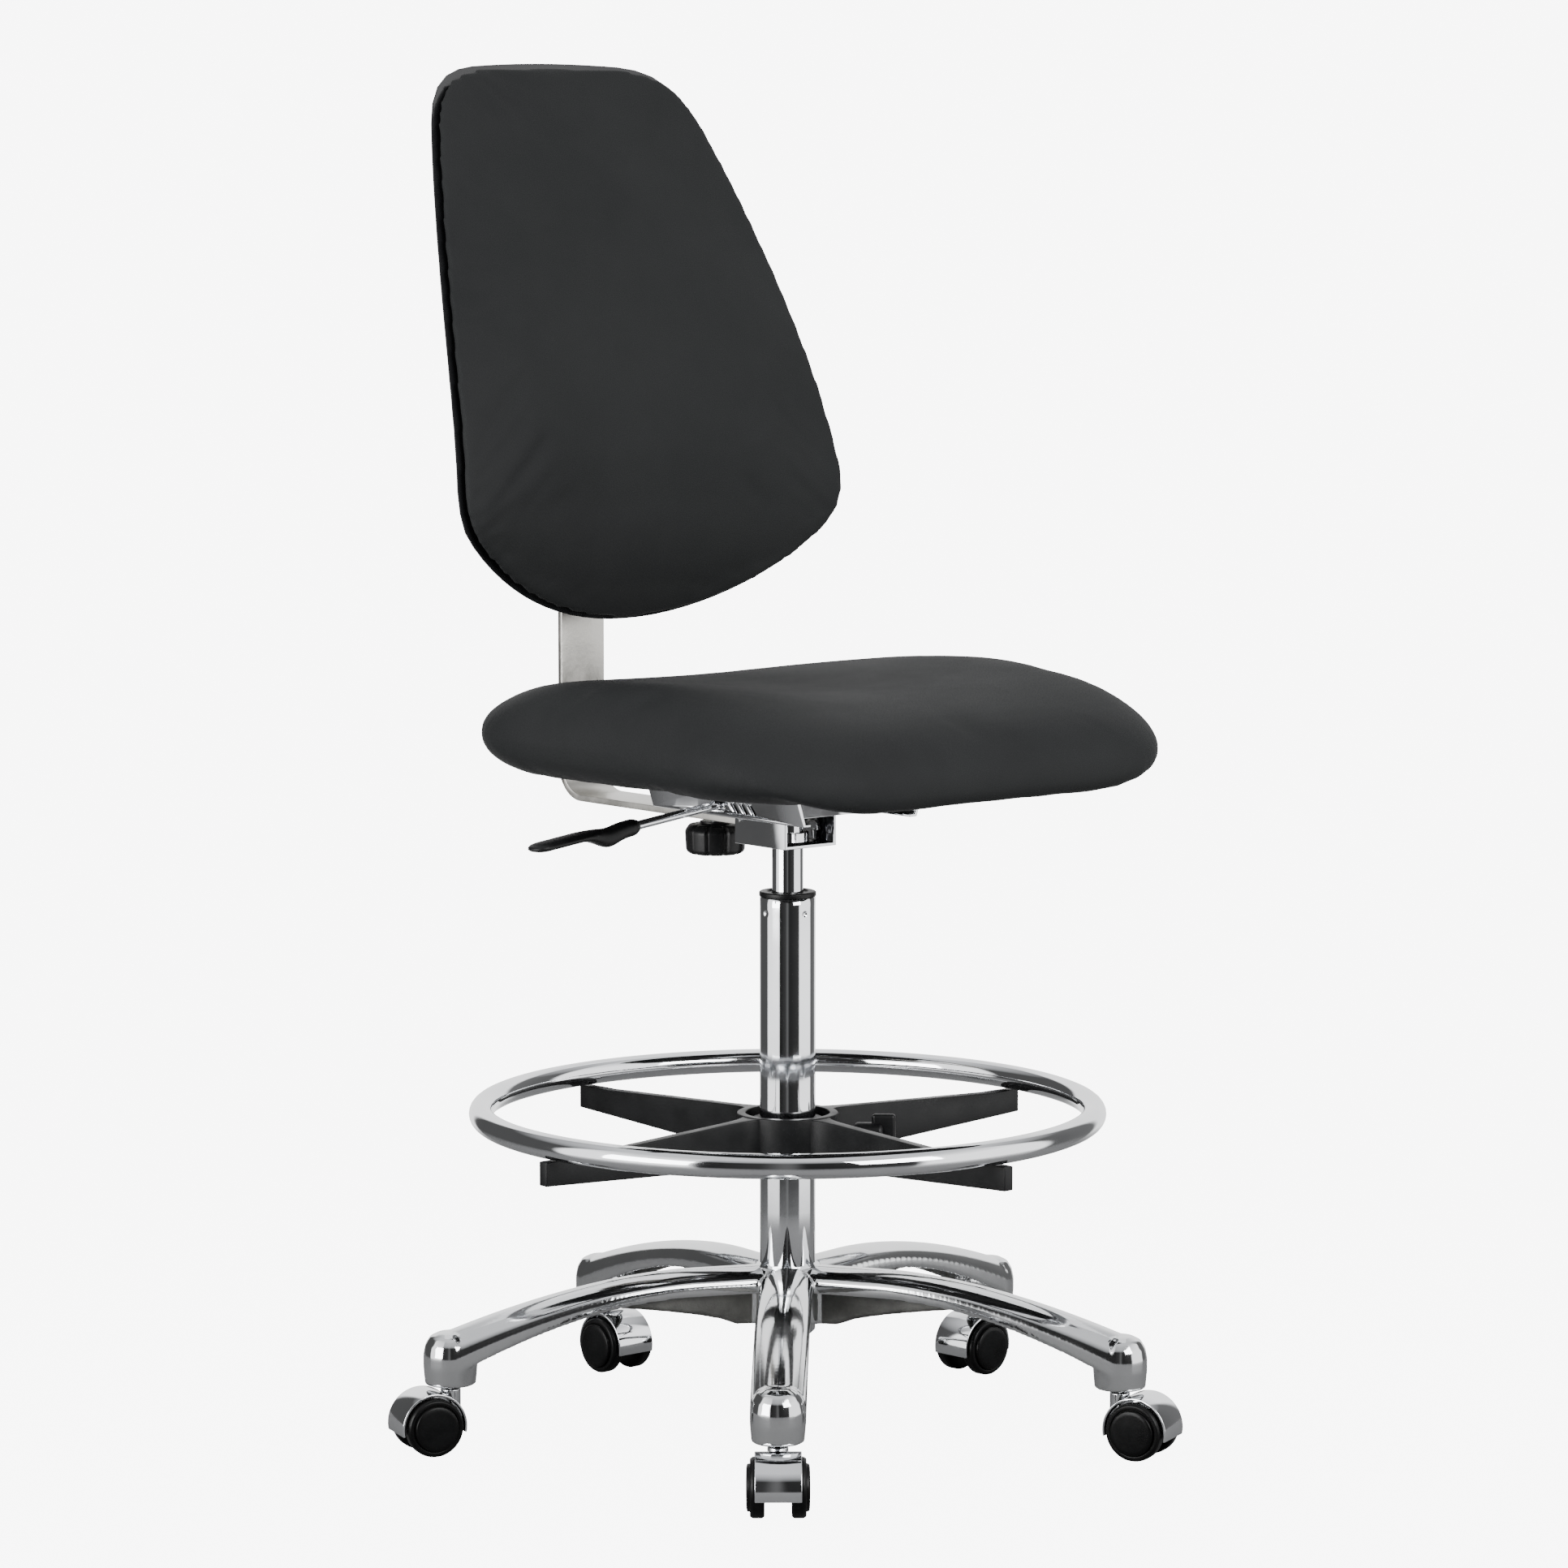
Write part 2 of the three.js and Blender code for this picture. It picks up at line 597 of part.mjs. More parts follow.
// The cushion's height at a point: dished in the middle, rising to its sides, falling at the rear
// edge, and rolled down over the front, where its lip hangs below the board.
function seatHeight(x, y, h) {
  const halfY = SEAT_DEPTH / 2;
  const side = Math.abs(x) / (SEAT_WIDTH / 2);
  const front = Math.max(0, (20 - y) / (20 + halfY));
  const rear = Math.max(0, y / halfY);
  const rim = SEAT_UNDER + SEAT_RIM - SEAT_RIM_ROLL * front ** 2;
  if (h > 0) {
    const dish = SEAT_DISH * Math.exp(-((x / 140) ** 2) - ((y - 20) / 130) ** 2);
    const sides = SEAT_SIDE_RISE * side ** 2 * Math.exp(-((y / 110) ** 2));
    const falls = SEAT_REAR_FALL * rear ** 2 + SEAT_FRONT_ROLL * front ** 2;
    return rim + h * (SEAT_UNDER + SEAT_THICK - dish + sides - falls - rim);
  }
  const edge = Math.min(1, Math.max(0, (front - SEAT_LIP_FROM) / (1 - SEAT_LIP_FROM)));
  const lip = SEAT_LIP * edge ** 2 * (3 - 2 * edge);
  return rim - h * (SEAT_UNDER - lip - rim);
}

function seat() {
  const place = (x, y, h) => [x, y - SEAT_FORWARD, seatHeight(x, y, h)];
  const cushion = pad(seatOutline(0).getPoints(8), 1, 1, SEAT_FULLNESS, 14, 32, place);
  const plate = new THREE.ExtrudeGeometry(seatOutline(BOARD_INSET), {
    depth: BOARD_THICK,
    bevelEnabled: false,
    curveSegments: 5,
  });
  plate.translate(0, -SEAT_FORWARD, boardUnder());
  const head = trayTop() - SHEET - TOUCH;
  const bolts = [[-1, -1], [1, -1], [1, 1], [-1, 1]].map(([sx, sy], i) => {
    const x = sx * (TRAY_WIDTH / 2 + BOLT_OUT);
    const y = TRAY_BACK - TRAY_DEPTH / 2 + sy * (TRAY_DEPTH / 2 - BOLT_INSET);
    return piece(`seat_bolt_${i + 1}`, disc(BOLT_R, head - BOLT_HEAD, head, 6).translate([x, y, 0]), STEEL);
  });
  return group(piece("seat_cushion", cushion, VINYL), piece("seat_board", solid(plate), BOARD), ...bolts);
}

// Mechanism: a tray under the board, a bracket that holds the lift tube and the tilt pivot, and the lever

function mechanism() {
  const top = trayTop();
  const half = TRAY_WIDTH / 2;
  const front = TRAY_BACK - TRAY_DEPTH;
  const wing = half + TRAY_WING;
  const low = top - TRAY_DROP;
  let tray = block(-wing, wing, front, TRAY_BACK, top - SHEET, top)
    .add(block(-half, -half + SHEET, front, TRAY_BACK, low, top))
    .add(block(half - SHEET, half, front, TRAY_BACK, low, top))
    .add(block(-half, half, front, front + SHEET, low + 8, top));
  const { count, width, height, lean, first, pitch, above } = TRAY_SLOTS;
  const wallFrom = -half - 1;
  const wallTo = -half + SHEET + 1;
  for (let i = 0; i < count; i++) {
    const slot = block(wallFrom, wallTo, -width / 2, width / 2, -height / 2, height / 2);
    tray = tray.subtract(slot.rotate([lean, 0, 0]).translate([0, first + pitch * i, low + above]));
  }
  tray = tray.subtract(block(wallFrom, wallTo, LEVER_WINDOW.from, LEVER_WINDOW.to, low + 5, top - SHEET));
  const halfX = BRACKET_WIDTH / 2;
  const y0 = PIVOT_Y - BRACKET_DEPTH + BRACKET_PAST_PIVOT;
  const y1 = y0 + BRACKET_DEPTH;
  const under = top - SHEET - TOUCH;
  const bracket = block(-halfX, halfX, y0, y1, BRACKET_BOTTOM, BRACKET_BOTTOM + SHEET)
    .add(block(-halfX, -halfX + SHEET, y0, y1, BRACKET_BOTTOM, under))
    .add(block(halfX - SHEET, halfX, y0, y1, BRACKET_BOTTOM, under))
    .add(disc(LIFT_TUBE_R + BRACKET_BOSS_WALL, BRACKET_BOTTOM, BRACKET_BOTTOM + BRACKET_BOSS_HEIGHT, 20))
    .subtract(disc(LIFT_TUBE_R + TOUCH, BRACKET_BOTTOM - 1, PIVOT_Z, 24))
    .subtract(bar(PIVOT_R + TOUCH, [-half, PIVOT_Y, PIVOT_Z], [half, PIVOT_Y, PIVOT_Z]))
    .subtract(
      block(
        -halfX - 1, -halfX + SHEET + 1,
        LEVER_OFFSET - LEVER_R - 1.5, LEVER_OFFSET + LEVER_R + 1.5,
        leverZ() - 6, leverZ() + 6,
      ),
    );
  return group(piece("seat_tray", tray, CHROME), piece("lift_bracket", bracket, CHROME));
}

// The lever's inner end lies over the release pin; it rocks in the bracket's side wall.
const leverZ = () => releaseTop() + 2 * TOUCH + LEVER_R;

function lever() {
  const z = leverZ();
  const elbow = [-LEVER_ELBOW_X, LEVER_OFFSET, z - 1];
  const neck = [-LEVER_NECK_X, 0, z - LEVER_DROP];
  const rod = bar(LEVER_R, [1, 0, z], [-8, 0, z]).add(bar(LEVER_R, [-4, 0, z], [-18, LEVER_OFFSET, z]));
  const handleFrom = new THREE.Vector3(-HANDLE_FROM_X, 0, z - LEVER_DROP + 1);
  const length = LEVER_REACH - HANDLE_FROM_X;
  const slope = Math.atan2(HANDLE_FALL, length);
  const tip = -length / 2;
  const blade = new THREE.Shape();
  blade.moveTo(-tip, HANDLE_NECK_HALF);
  blade.quadraticCurveTo(0, HANDLE_HALF + 1, tip + HANDLE_HALF, HANDLE_HALF);
  blade.quadraticCurveTo(tip, HANDLE_HALF - 2, tip, 0);
  blade.quadraticCurveTo(tip, 2 - HANDLE_HALF, tip + HANDLE_HALF, -HANDLE_HALF);
  blade.quadraticCurveTo(0, -HANDLE_HALF - 1, -tip, -HANDLE_NECK_HALF);
  const tilt = (x, y, h) => {
    const along = x - length / 2;
    return [
      handleFrom.x + along * Math.cos(slope),
      handleFrom.y + y,
      handleFrom.z + along * Math.sin(slope) + h,
    ];
  };
  const handle = pad(blade.getPoints(4), HANDLE_THICK / 2, HANDLE_THICK / 2, 0.5, 8, 18, tilt);
  const whole = rod.add(bar(LEVER_R, [-16, LEVER_OFFSET, z], elbow)).add(bar(LEVER_R, elbow, neck));
  const socket = bar(LEVER_R + TOUCH, elbow, neck.map((v, i) => v + (v - elbow[i]) * 0.004));
  return group(
    piece("height_lever", whole, STEEL),
    piece("lever_handle", handle.subtract(socket), BLACK_PLASTIC),
  );
}

// Back bar: one flat strip from the pivot, under the seat and up behind the back, with its tilt knob

// The bar is never wider than the room between the bracket's walls.
const barWidth = () => Math.min(BAR_WIDTH, BRACKET_WIDTH - 2 * (SHEET + RUN));

function backBar() {
  const outerR = BAR_BEND_R + BAR_THICK;
  const cy = BAR_Y - BAR_BEND_R;
  const cz = BAR_Z + BAR_THICK + BAR_BEND_R;
  const strip = new THREE.Shape();
  strip.moveTo(PIVOT_Y, BAR_Z);
  strip.lineTo(cy, BAR_Z);
  strip.absarc(cy, cz, outerR, -Math.PI / 2, 0, false);
  strip.lineTo(BAR_Y + BAR_THICK, BAR_TOP);
  strip.lineTo(BAR_Y, BAR_TOP);
  strip.absarc(cy, cz, BAR_BEND_R, 0, -Math.PI / 2, true);
  strip.lineTo(PIVOT_Y, BAR_Z + BAR_THICK);
  const width = barWidth();
  const clearTube = block(-width, width, -width, LIFT_TUBE_R + BRACKET_BOSS_WALL + RUN, 0, PIVOT_Z + 40);
  const eyeR = BAR_Z + BAR_THICK - PIVOT_Z + EYE_EXTRA;
  const eyeY = PIVOT_Y + 2;
  const shape = sideProfile(strip, width, 8)
    .add(bar(eyeR, [-width / 2, eyeY, PIVOT_Z], [width / 2, eyeY, PIVOT_Z], 16))
    .subtract(bar(PIVOT_R + RUN, [-width, PIVOT_Y, PIVOT_Z], [width, PIVOT_Y, PIVOT_Z], 14))
    .subtract(clearTube)
    .subtract(disc(KNOB_STUD_R + TOUCH, BAR_Z - 1, BAR_Z + BAR_THICK + 1, 12).translate([0, KNOB_Y, 0]));
  const pinHalf = BRACKET_WIDTH / 2 + 4;
  const top = BAR_Z - KNOB_GAP;
  const low = top - KNOB_HEIGHT;
  let knob = turned(
    [[0, low], [KNOB_R - 4, low], [KNOB_R, low + 4], [KNOB_R, top - 8], [KNOB_R - 5, top], [0, top]],
    24,
  );
  for (let i = 0; i < KNOB_FLUTES; i++) {
    const flute = disc(2.2, low - 1, top + 1, 8).translate([KNOB_R + 0.6, 0, 0]);
    knob = knob.subtract(flute.rotate([0, 0, (360 * i) / KNOB_FLUTES]));
  }
  const studLow = top - KNOB_STUD_DEPTH;
  const barTop = BAR_Z + BAR_THICK;
  knob = knob.subtract(disc(KNOB_STUD_R + TOUCH, studLow, top + 1, 12)).translate([0, KNOB_Y, 0]);
  const stud = disc(KNOB_STUD_R, studLow + TOUCH, barTop + 2, 12)
    .add(disc(KNOB_NUT_R, barTop + TOUCH, barTop + 5, 6))
    .translate([0, KNOB_Y, 0]);
  return group(
    piece("back_bar", shape, NICKEL),
    piece("tilt_pivot_pin", bar(PIVOT_R, [-pinHalf, PIVOT_Y, PIVOT_Z], [pinHalf, PIVOT_Y, PIVOT_Z]), STEEL),
    piece("tilt_knob", knob, BLACK_PLASTIC),
    piece("tilt_knob_stud", stud, STEEL),
  );
}

// Backrest: pad on a moulded shell, with a guide behind it that slides on the bar

const backMiddle = (x, z) => {
  const up = z - BACK_LUMBAR_Z;
  const lean = up > 0 ? (BACK_LEAN * up * up) / (up + BACK_LEAN_EASE) : BACK_CURL * up * up;
  return BACK_LUMBAR_Y + lean - BACK_WRAP * (x / BACK_HALF_WIDTH) ** 2;
};

// The back's outline, drawn in by an inset: broad and rounded below, narrower above.
function backOutline(inset) {
  const half = BACK_HALF_WIDTH - inset;
  const top = BACK_TOP - inset;
  const low = BACK_BOTTOM + inset;
  const shape = new THREE.Shape();
  shape.moveTo(0, low);
  shape.bezierCurveTo(half * 0.5, low, half * 0.86, low + 58, half - 8, low + 88);
  shape.bezierCurveTo(half + 3, low + 104, half + 2, low + 128, half - 2, low + 150);
  shape.bezierCurveTo(half - 18, low + 290, half * 0.78, top - 110, half * 0.7, top - 56);
  shape.bezierCurveTo(half * 0.64, top - 14, half * 0.52, top - 6, half * 0.4, top - 3);
  shape.quadraticCurveTo(half * 0.2, top, 0, top);
  const right = shape.getPoints(5);
  const left = right.slice(1, -1).reverse().map((p) => new THREE.Vector2(-p.x, p.y));
  return [...right, ...left];
}

function backrest() {
  const centre = (BACK_TOP + BACK_BOTTOM) / 2;
  const outline = (inset) => backOutline(inset).map((p) => new THREE.Vector2(p.x, p.y - centre));
  const front = (x, z, h) => [x, backMiddle(x, z + centre) - PAD_GAP - h, z + centre];
  const rear = (x, z, h) => [-x, backMiddle(x, z + centre) + h, z + centre];
  const cushion = pad(outline(3), PAD_THICK, 0, 0.4, 14, 28, front);
  const shell = pad(outline(0), SHELL_THICK, 0, 0.3, 14, 28, rear);
  const halfX = BAR_WIDTH / 2 + RUN + GUIDE_WALL;
  const rearFace = BAR_Y + BAR_THICK + RUN + GUIDE_WALL;
  const guide = new THREE.Shape();
  const fit = (z) => backMiddle(0, z) + SHELL_THICK + PAD_GAP;
  guide.moveTo(rearFace, GUIDE_BOTTOM);
  guide.lineTo(rearFace, GUIDE_TOP - GUIDE_ROUND);
  guide.quadraticCurveTo(rearFace, GUIDE_TOP, fit(GUIDE_TOP), GUIDE_TOP);
  const steps = 6;
  for (let i = 1; i <= steps; i++) {
    const z = GUIDE_TOP + ((GUIDE_BOTTOM - GUIDE_TOP) * i) / steps;
    guide.lineTo(fit(z), z);
  }
  const slotHalf = barWidth() / 2 + RUN;
  const slot = block(
    -slotHalf, slotHalf,
    BAR_Y - RUN, BAR_Y + BAR_THICK + RUN,
    GUIDE_BOTTOM - 1, BAR_TOP + SLOT_PAST_BAR,
  );
  const housing = sideProfile(guide, 2 * halfX).subtract(slot);
  return group(
    piece("back_pad", cushion, VINYL),
    piece("back_shell", shell, BLACK_PLASTIC),
    piece("back_guide", housing, BLACK_PLASTIC),
  );
}

const chair = group(
  piece("star_base", starBase(), POLISHED),
  ...CASTER_YAWS.map((_, i) => caster(i + 1)),
  column(),
  gasLift(),
  footRing(),
  mechanism(),
  lever(),
  backBar(),
  seat(),
  backrest(),
);

const box = new THREE.Box3().setFromObject(chair, true);
const middle = box.getCenter(new THREE.Vector3());
chair.position.set(-middle.x, -middle.y, -box.min.z);

const model = group(chair);
export default model;
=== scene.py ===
import math

import bmesh
import bpy
from mathutils import Matrix, Vector


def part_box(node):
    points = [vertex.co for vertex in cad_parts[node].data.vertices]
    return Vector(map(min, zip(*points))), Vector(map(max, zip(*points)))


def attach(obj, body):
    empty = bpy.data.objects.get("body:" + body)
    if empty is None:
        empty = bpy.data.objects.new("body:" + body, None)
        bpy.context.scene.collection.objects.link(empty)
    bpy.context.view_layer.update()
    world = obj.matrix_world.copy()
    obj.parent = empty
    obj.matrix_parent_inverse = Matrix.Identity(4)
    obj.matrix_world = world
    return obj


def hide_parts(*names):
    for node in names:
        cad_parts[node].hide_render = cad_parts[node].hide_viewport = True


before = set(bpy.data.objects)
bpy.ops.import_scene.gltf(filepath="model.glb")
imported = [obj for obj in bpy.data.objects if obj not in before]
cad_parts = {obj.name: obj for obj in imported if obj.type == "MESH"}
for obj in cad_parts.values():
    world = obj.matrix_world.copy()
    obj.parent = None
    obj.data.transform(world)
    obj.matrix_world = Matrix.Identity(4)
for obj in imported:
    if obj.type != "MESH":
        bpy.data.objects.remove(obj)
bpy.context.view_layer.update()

# ---------------------------------------------------------------------------------------------
# Camera. It stands five metres off, by the sitter's right hand, and looks slightly down along a
# long lens, so the chair's uprights stay nearly parallel.
column_low, column_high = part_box("column_tube")
axis_x = (column_low.x + column_high.x) / 2
axis_y = (column_low.y + column_high.y) / 2
camera_turn = math.radians(-40)
camera_distance = 5.0
camera_height = 1.167
camera_dip = math.radians(6.636)
camera_swing = math.radians(0.037)
camera_data = bpy.data.cameras.new("camera")
camera_data.lens = 129.5
camera_data.sensor_width = 36
camera_data.clip_end = 200
camera = bpy.data.objects.new("camera", camera_data)
camera.location = (
    axis_x + camera_distance * math.sin(camera_turn),
    axis_y - camera_distance * math.cos(camera_turn),
    camera_height,
)
camera.rotation_euler = (math.pi / 2 - camera_dip, 0, camera_turn + camera_swing)
bpy.context.scene.collection.objects.link(camera)
bpy.context.scene.camera = camera

# ---------------------------------------------------------------------------------------------
# Studio. A wide pale floor, a white surround with a dark side behind the camera that the chrome
# mirrors as a dark stripe, and three soft lights.
floor_mesh = bmesh.new()
bmesh.ops.create_grid(floor_mesh, x_segments=2, y_segments=2, size=3)
floor_data = bpy.data.meshes.new("studio_floor")
floor_mesh.to_mesh(floor_data)
floor_mesh.free()
studio_floor = bpy.data.objects.new("studio_floor", floor_data)
bpy.context.scene.collection.objects.link(studio_floor)

floor_material = bpy.data.materials.new("floor_paper")
floor_material.use_nodes = True
floor_nodes = floor_material.node_tree.nodes
floor_links = floor_material.node_tree.links
floor_shader = floor_nodes["Principled BSDF"]
floor_shader.inputs["Roughness"].default_value = 0.9
floor_shader.inputs["Specular IOR Level"].default_value = 0.1
floor_place = floor_nodes.new("ShaderNodeTexCoord")
floor_tone = floor_nodes.new("ShaderNodeTexNoise")
floor_tone.inputs["Scale"].default_value = 0.6
floor_ramp = floor_nodes.new("ShaderNodeValToRGB")
floor_ramp.color_ramp.elements[0].color = (0.17, 0.17, 0.17, 1)
floor_ramp.color_ramp.elements[1].color = (0.19, 0.19, 0.19, 1)
floor_links.new(floor_place.outputs["Object"], floor_tone.inputs["Vector"])
floor_links.new(floor_tone.outputs["Fac"], floor_ramp.inputs["Fac"])
floor_links.new(floor_ramp.outputs["Color"], floor_shader.inputs["Base Color"])
# The paper glows softly towards the camera only, and fades out into the white surround.
floor_seen = floor_nodes.new("ShaderNodeLightPath")
floor_glow = floor_nodes.new("ShaderNodeMath")
floor_glow.operation = "MULTIPLY"
floor_glow.inputs[1].default_value = 7.9
floor_links.new(floor_seen.outputs["Is Camera Ray"], floor_glow.inputs[0])
floor_links.new(floor_glow.outputs["Value"], floor_shader.inputs["Emission Strength"])
floor_shader.inputs["Emission Color"].default_value = (1, 1, 1, 1)
floor_reach = floor_nodes.new("ShaderNodeVectorMath")
floor_reach.operation = "LENGTH"
floor_links.new(floor_place.outputs["Object"], floor_reach.inputs[0])
floor_fade = floor_nodes.new("ShaderNodeMapRange")
floor_fade.interpolation_type = "SMOOTHSTEP"
floor_fade.inputs["From Min"].default_value = 0.55
floor_fade.inputs["From Max"].default_value = 1.5
floor_fade.inputs["To Min"].default_value = 1
floor_fade.inputs["To Max"].default_value = 0
floor_links.new(floor_reach.outputs["Value"], floor_fade.inputs["Value"])
floor_links.new(floor_fade.outputs["Result"], floor_shader.inputs["Alpha"])
floor_data.materials.append(floor_material)

world = bpy.data.worlds.new("studio")
bpy.context.scene.world = world
world.use_nodes = True
world_nodes = world.node_tree.nodes
world_links = world.node_tree.links
world_nodes.clear()
world_out = world_nodes.new("ShaderNodeOutputWorld")
surround_way = world_nodes.new("ShaderNodeTexCoord")
surround_turn = world_nodes.new("ShaderNodeMapping")
surround_turn.inputs["Rotation"].default_value = (0, 0, -camera_turn)
world_links.new(surround_way.outputs["Generated"], surround_turn.inputs["Vector"])
surround_split = world_nodes.new("ShaderNodeSeparateXYZ")
world_links.new(surround_turn.outputs["Vector"], surround_split.inputs["Vector"])
# The turn about the vertical as a value from 0 to 1, with 0.5 straight behind the camera.
surround_angle = world_nodes.new("ShaderNodeMath")
surround_angle.operation = "ARCTAN2"
world_links.new(surround_split.outputs["X"], surround_angle.inputs[0])
surround_back = world_nodes.new("ShaderNodeMath")
surround_back.operation = "MULTIPLY"
surround_back.inputs[1].default_value = -1
world_links.new(surround_split.outputs["Y"], surround_back.inputs[0])
world_links.new(surround_back.outputs["Value"], surround_angle.inputs[1])
surround_fraction = world_nodes.new("ShaderNodeMapRange")
surround_fraction.inputs["From Min"].default_value = -math.pi
surround_fraction.inputs["From Max"].default_value = math.pi
world_links.new(surround_angle.outputs["Value"], surround_fraction.inputs["Value"])
surround_bands = world_nodes.new("ShaderNodeValToRGB")
bands = surround_bands.color_ramp
bands.interpolation = "EASE"
window = 2.3
far_side = 1.9
band_stops = [
    (0.0, far_side), (0.066, far_side), (0.084, 0.10), (0.242, 0.10), (0.258, window), (0.396, window),
    (0.412, 0.02), (0.47, 0.05), (0.50, 0.16), (0.52, 0.03), (0.628, 0.05), (0.645, window),
    (0.788, window), (0.806, 0.15), (0.892, 0.2), (0.915, far_side), (1.0, far_side),
]
for place, level in band_stops[2:]:
    bands.elements.new(place)
for element, (place, level) in zip(bands.elements, band_stops):
    element.position = place
    element.color = (level, level, level, 1)
world_links.new(surround_fraction.outputs["Result"], surround_bands.inputs["Fac"])
overhead = world_nodes.new("ShaderNodeMapRange")
overhead.inputs["From Min"].default_value = 0.50
overhead.inputs["From Max"].default_value = 0.85
world_links.new(surround_split.outputs["Z"], overhead.inputs["Value"])
overhead_mix = world_nodes.new("ShaderNodeMixRGB")
overhead_mix.inputs["Color2"].default_value = (1.00, 1.01, 1.03, 1)
world_links.new(overhead.outputs["Result"], overhead_mix.inputs["Fac"])
world_links.new(surround_bands.outputs["Color"], overhead_mix.inputs["Color1"])
surround_light = world_nodes.new("ShaderNodeBackground")
surround_light.inputs["Strength"].default_value = 0.95
world_links.new(overhead_mix.outputs["Color"], surround_light.inputs["Color"])
seen_light = world_nodes.new("ShaderNodeBackground")
seen_light.inputs["Color"].default_value = (1, 1, 1, 1)
seen_light.inputs["Strength"].default_value = 8.0
seen = world_nodes.new("ShaderNodeLightPath")
world_mix = world_nodes.new("ShaderNodeMixShader")
world_links.new(seen.outputs["Is Camera Ray"], world_mix.inputs["Fac"])
world_links.new(surround_light.outputs["Background"], world_mix.inputs[1])
world_links.new(seen_light.outputs["Background"], world_mix.inputs[2])
world_links.new(world_mix.outputs["Shader"], world_out.inputs["Surface"])


def soft_light(name, turn, distance, height, size, power):
    """A square soft light that faces the chair, placed by its turn from the camera's side."""
    data = bpy.data.lights.new(name, "AREA")
    data.shape = "SQUARE"
    data.size = size
    data.energy = power
    light = bpy.data.objects.new(name, data)
    angle = camera_turn + math.radians(turn)
    light.location = (axis_x + distance * math.sin(angle), axis_y - distance * math.cos(angle), height)
    aim = Vector((axis_x, axis_y, 0.7)) - light.location
    light.rotation_euler = aim.to_track_quat("-Z", "Y").to_euler()
    bpy.context.scene.collection.objects.link(light)


soft_light("key_light", 40, 3.4, 2.0, 2.0, 125)
soft_light("fill_light", -50, 3.4, 1.0, 2.0, 115)
soft_light("top_light", 180, 1.6, 3.2, 2.2, 8)

# ---------------------------------------------------------------------------------------------
# Star base. One polished aluminium casting: a hub round the column, five arched arms that are
# hollow below, with a rib under each, and a round socket at each end for a caster's stem.


def handled(detail, unevenness):
    """The light marks that handling leaves: a soft cloudiness that makes a finish less even."""
    group = bpy.data.node_groups.new("handling_marks", "ShaderNodeTree")
    group.interface.new_socket("Scale", in_out="INPUT", socket_type="NodeSocketFloat")
    group.interface.new_socket("Low", in_out="INPUT", socket_type="NodeSocketFloat")
    group.interface.new_socket("High", in_out="INPUT", socket_type="NodeSocketFloat")
    group.interface.new_socket("Roughness", in_out="OUTPUT", socket_type="NodeSocketFloat")
    group.interface.new_socket("Cloud", in_out="OUTPUT", socket_type="NodeSocketFloat")
    entry = group.nodes.new("NodeGroupInput")
    leave = group.nodes.new("NodeGroupOutput")
    where = group.nodes.new("ShaderNodeTexCoord")
    cloud = group.nodes.new("ShaderNodeTexNoise")
    cloud.inputs["Detail"].default_value = detail
    cloud.inputs["Roughness"].default_value = unevenness
    spread = group.nodes.new("ShaderNodeMapRange")
    spread.inputs["From Min"].default_value = 0.35
    spread.inputs["From Max"].default_value = 0.7
    group.links.new(where.outputs["Object"], cloud.inputs["Vector"])
    group.links.new(entry.outputs["Scale"], cloud.inputs["Scale"])
    group.links.new(cloud.outputs["Fac"], spread.inputs["Value"])
    group.links.new(entry.outputs["Low"], spread.inputs["To Min"])
    group.links.new(entry.outputs["High"], spread.inputs["To Max"])
    group.links.new(spread.outputs["Result"], leave.inputs["Roughness"])
    group.links.new(cloud.outputs["Fac"], leave.inputs["Cloud"])
    return group


handling_marks = handled(5, 0.6)


def finish(name, dark, light, metallic, rough, marks_scale=14, bump=None, coat=0.0, gloss=0.5):
    """A finish with a cloudy colour between dark and light, uneven roughness and a fine bump."""
    material = bpy.data.materials.new(name)
    material.use_nodes = True
    nodes = material.node_tree.nodes
    links = material.node_tree.links
    shader = nodes["Principled BSDF"]
    shader.inputs["Metallic"].default_value = metallic
    shader.inputs["Specular IOR Level"].default_value = gloss
    shader.inputs["Coat Weight"].default_value = coat
    shader.inputs["Coat Roughness"].default_value = 0.12
    marks = nodes.new("ShaderNodeGroup")
    marks.node_tree = handling_marks
    marks.inputs["Scale"].default_value = marks_scale
    marks.inputs["Low"].default_value = rough[0]
    marks.inputs["High"].default_value = rough[1]
    tone = nodes.new("ShaderNodeValToRGB")
    tone.color_ramp.elements[0].position = 0.35
    tone.color_ramp.elements[0].color = (*dark, 1)
    tone.color_ramp.elements[1].position = 0.68
    tone.color_ramp.elements[1].color = (*light, 1)
    links.new(marks.outputs["Cloud"], tone.inputs["Fac"])
    links.new(tone.outputs["Color"], shader.inputs["Base Color"])
    links.new(marks.outputs["Roughness"], shader.inputs["Roughness"])
    if bump:
        scale, strength, depth = bump
        where = nodes.new("ShaderNodeTexCoord")
        grain = nodes.new("ShaderNodeTexNoise")
        grain.inputs["Scale"].default_value = scale
        grain.inputs["Detail"].default_value = 3
        relief = nodes.new("ShaderNodeBump")
        relief.inputs["Strength"].default_value = strength
        relief.inputs["Distance"].default_value = depth
        links.new(where.outputs["Object"], grain.inputs["Vector"])
        links.new(grain.outputs["Fac"], relief.inputs["Height"])
        links.new(relief.outputs["Normal"], shader.inputs["Normal"])
    return material


polished_cast = finish(
    "polished_cast", (0.70, 0.71, 0.72), (0.80, 0.81, 0.82), 1.0, (0.05, 0.13), 9, (60, 0.05, 0.001)
)
# The unpolished casting under the arms, its colour darkened well below bare aluminium to paint the shade
# that falls under the arms.
raw_cast_with_painted_shade = finish(
    "raw_cast_with_painted_shade", (0.13, 0.13, 0.125), (0.20, 0.20, 0.19), 0.9, (0.42, 0.6), 30, (500, 0.3, 0.0006)
)


